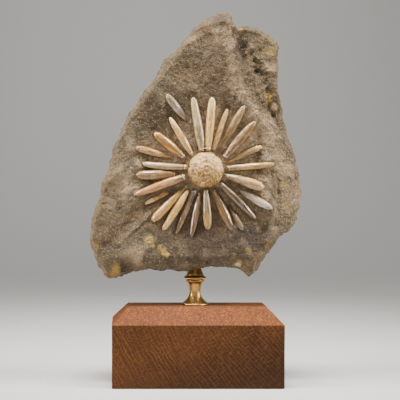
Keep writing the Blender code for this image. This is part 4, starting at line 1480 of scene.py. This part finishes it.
def brass_finish():
    """Turned and polished brass."""
    made, tree, shader, place = new_finish("polished_brass", 0.38, metallic=1.0)
    cloud = patches(tree, place, 0.008, 0.35, 0.7)
    colour = mix(tree, cloud, linear(180, 140, 83), linear(162, 123, 69))
    colour = lay(tree, colour, value_of(tree, "hollow"), 0.85, linear(60, 38, 20))
    height = add(tree, "ShaderNodeSeparateXYZ", {0: place}).outputs["Z"]
    lathe = add(
        tree, "ShaderNodeTexNoise",
        {"W": maths(tree, "MULTIPLY", height, RINGS_PER_METRE), "Scale": 1.0}, noise_dimensions="1D",
    )
    connect(
        tree, shader, Base_Color=colour, Roughness=span(tree, cloud, 0.0, 1.0, 0.34, 0.44),
        Normal=bump(tree, lathe.outputs["Fac"], 0.00004, 0.6),
    )
    return made


post.data.materials.append(brass_finish())
print("post finish:", post.data.materials[0].name)

# %% [markdown]
# ## Wood
# The block was cut across the grain, so its front shows end grain: arcs of growth rings round a centre
# far off to the upper right, crossed by fine rays. The colour is worked out in the solid, so the same
# rings run on over the chamfer, the top and the sides as they would in real wood. Noise read by distance
# and angle from the pith gives fibres and rays that follow the rings.

# %% Rings, fibres and rays
PITH = (0.21, 0.165)    # x, z of the tree's centre
RING_WIDTH = 0.0030     # metres
RING_WAVE = 0.006       # metres by which the rings wander


def noise_at(tree, place, scale, detail):
    """Cloudy noise from 0 to 1."""
    inputs = {"Vector": place, "Scale": scale, "Detail": detail}
    return add(tree, "ShaderNodeTexNoise", inputs).outputs["Fac"]


def wood_figure(tree, place, parts):
    """Masks of the growth rings, from -1 to 1, and of the fibres and rays that run across them."""
    from_x = maths(tree, "SUBTRACT", parts["X"], PITH[0])
    from_z = maths(tree, "SUBTRACT", parts["Z"], PITH[1])
    squares = [maths(tree, "MULTIPLY", side, side) for side in (from_x, from_z)]
    radius = maths(tree, "SQRT", maths(tree, "ADD", *squares))
    warp = maths(tree, "SUBTRACT", noise_at(tree, place, 30.0, 4.0), 0.5)
    bent = maths(tree, "ADD", radius, maths(tree, "MULTIPLY", warp, RING_WAVE))
    angle = maths(tree, "ARCTAN2", from_z, from_x)

    def polar_noise(across, around, deep):
        cell = add(tree, "ShaderNodeCombineXYZ", {
            "X": maths(tree, "MULTIPLY", bent, across),
            "Y": maths(tree, "MULTIPLY", angle, around),
            "Z": maths(tree, "MULTIPLY", parts["Y"], deep),
        }).outputs[0]
        return noise_at(tree, cell, 1.0, 2.0)

    uneven = maths(tree, "MULTIPLY", polar_noise(0.5 / RING_WIDTH, 6.0, 12.0), 2.2)
    phase = maths(tree, "ADD", maths(tree, "DIVIDE", bent, RING_WIDTH), uneven)
    rings = maths(tree, "SINE", maths(tree, "MULTIPLY", phase, 2.0 * math.pi))
    return rings, polar_noise(1300.0, 40.0, 20.0), polar_noise(160.0, 190.0, 30.0)


print("rings every", RING_WIDTH / MM, "mm")


# %% Chamfer tone and painted sheen
def over_chamfer(tree, place, parts, colour):
    """The warmer, paler tone of the faces that look up, partly their grain and partly a painted sheen,
    with small orange flecks.
    """
    facing = add(tree, "ShaderNodeTexCoord").outputs["Normal"]
    upward = add(tree, "ShaderNodeSeparateXYZ", {0: facing}).outputs["Z"]
    bevel_patches = patches(tree, place, 0.008, 0.4, 0.65)
    bevel_grain_and_sheen = mix(tree, bevel_patches, linear(114, 58, 20), linear(92, 50, 30))
    # Painted sheen: faces that look up are laid paler and warmer, partly for their grain and partly for
    # the light from above.
    colour = mix(tree, span(tree, upward, 0.3, 0.6, 0.0, 0.45), colour, bevel_grain_and_sheen)
    flecks = patches(tree, place, 0.0014, 0.5, 0.66)
    flecks = maths(tree, "MULTIPLY", flecks, span(tree, upward, 0.3, 0.6))
    flecks = maths(tree, "MULTIPLY", flecks, span(tree, parts["Z"], 0.045, 0.053, 0.05, 0.5))
    return mix(tree, flecks, colour, linear(160, 92, 24))


print("helper: over_chamfer")

# %% Wood finish
WOOD_GLOSS = 0.12


def wood_finish():
    """Oiled brown hardwood, worked out in the solid."""
    made, tree, shader, place = new_finish("oiled_hardwood", 0.55)
    shader.inputs["Specular IOR Level"].default_value = WOOD_GLOSS
    parts = add(tree, "ShaderNodeSeparateXYZ", {0: place}).outputs
    rings, fibres, rays = wood_figure(tree, place, parts)
    pores = noise_at(tree, place, 900.0, 1.0)
    figured = patches(tree, place, 0.035, 0.36, 0.62)
    colour = mix(tree, patches(tree, place, 0.05, 0.38, 0.62), linear(73, 44, 21), linear(58, 34, 16))
    dark = linear(34, 19, 8)
    pale = linear(112, 70, 36)
    line = maths(tree, "MULTIPLY", span(tree, rings, 0.45, 0.95),
                 span(tree, figured, 0.0, 1.0, 0.12, 0.42))
    colour = lay(tree, colour, span(tree, rings, 0.1, -0.9), 0.22, dark)
    colour = mix(tree, line, colour, pale)
    colour = lay(tree, colour, span(tree, fibres, 0.5, 0.32), 0.3, dark)
    across_figure = span(tree, parts["X"], -0.05, 0.06, 0.12, 0.5)
    colour = lay(tree, colour, span(tree, rays, 0.53, 0.66), across_figure, pale)
    colour = lay(tree, colour, span(tree, pores, 0.44, 0.3), 0.5, dark)
    colour = lay(tree, colour, span(tree, pores, 0.56, 0.7), 0.3, pale)
    # Painted shade: the front darkens towards the bottom and the right.
    lower_right = maths(tree, "SUBTRACT", maths(tree, "MULTIPLY", parts["X"], 0.3), parts["Z"])
    colour = mix(tree, span(tree, lower_right, -0.05, 0.01, 0.0, 0.7), colour, dark)
    colour = over_chamfer(tree, place, parts, colour)
    relief = maths(tree, "ADD", maths(tree, "MULTIPLY", fibres, 0.5), maths(tree, "MULTIPLY", pores, 0.5))
    connect(
        tree, shader, Base_Color=colour, Roughness=span(tree, pores, 0.3, 0.7, 0.62, 0.5),
        Normal=bump(tree, relief, 0.00012, 0.5),
    )
    return made


block.data.materials.append(wood_finish())
print("block finish:", block.data.materials[0].name)
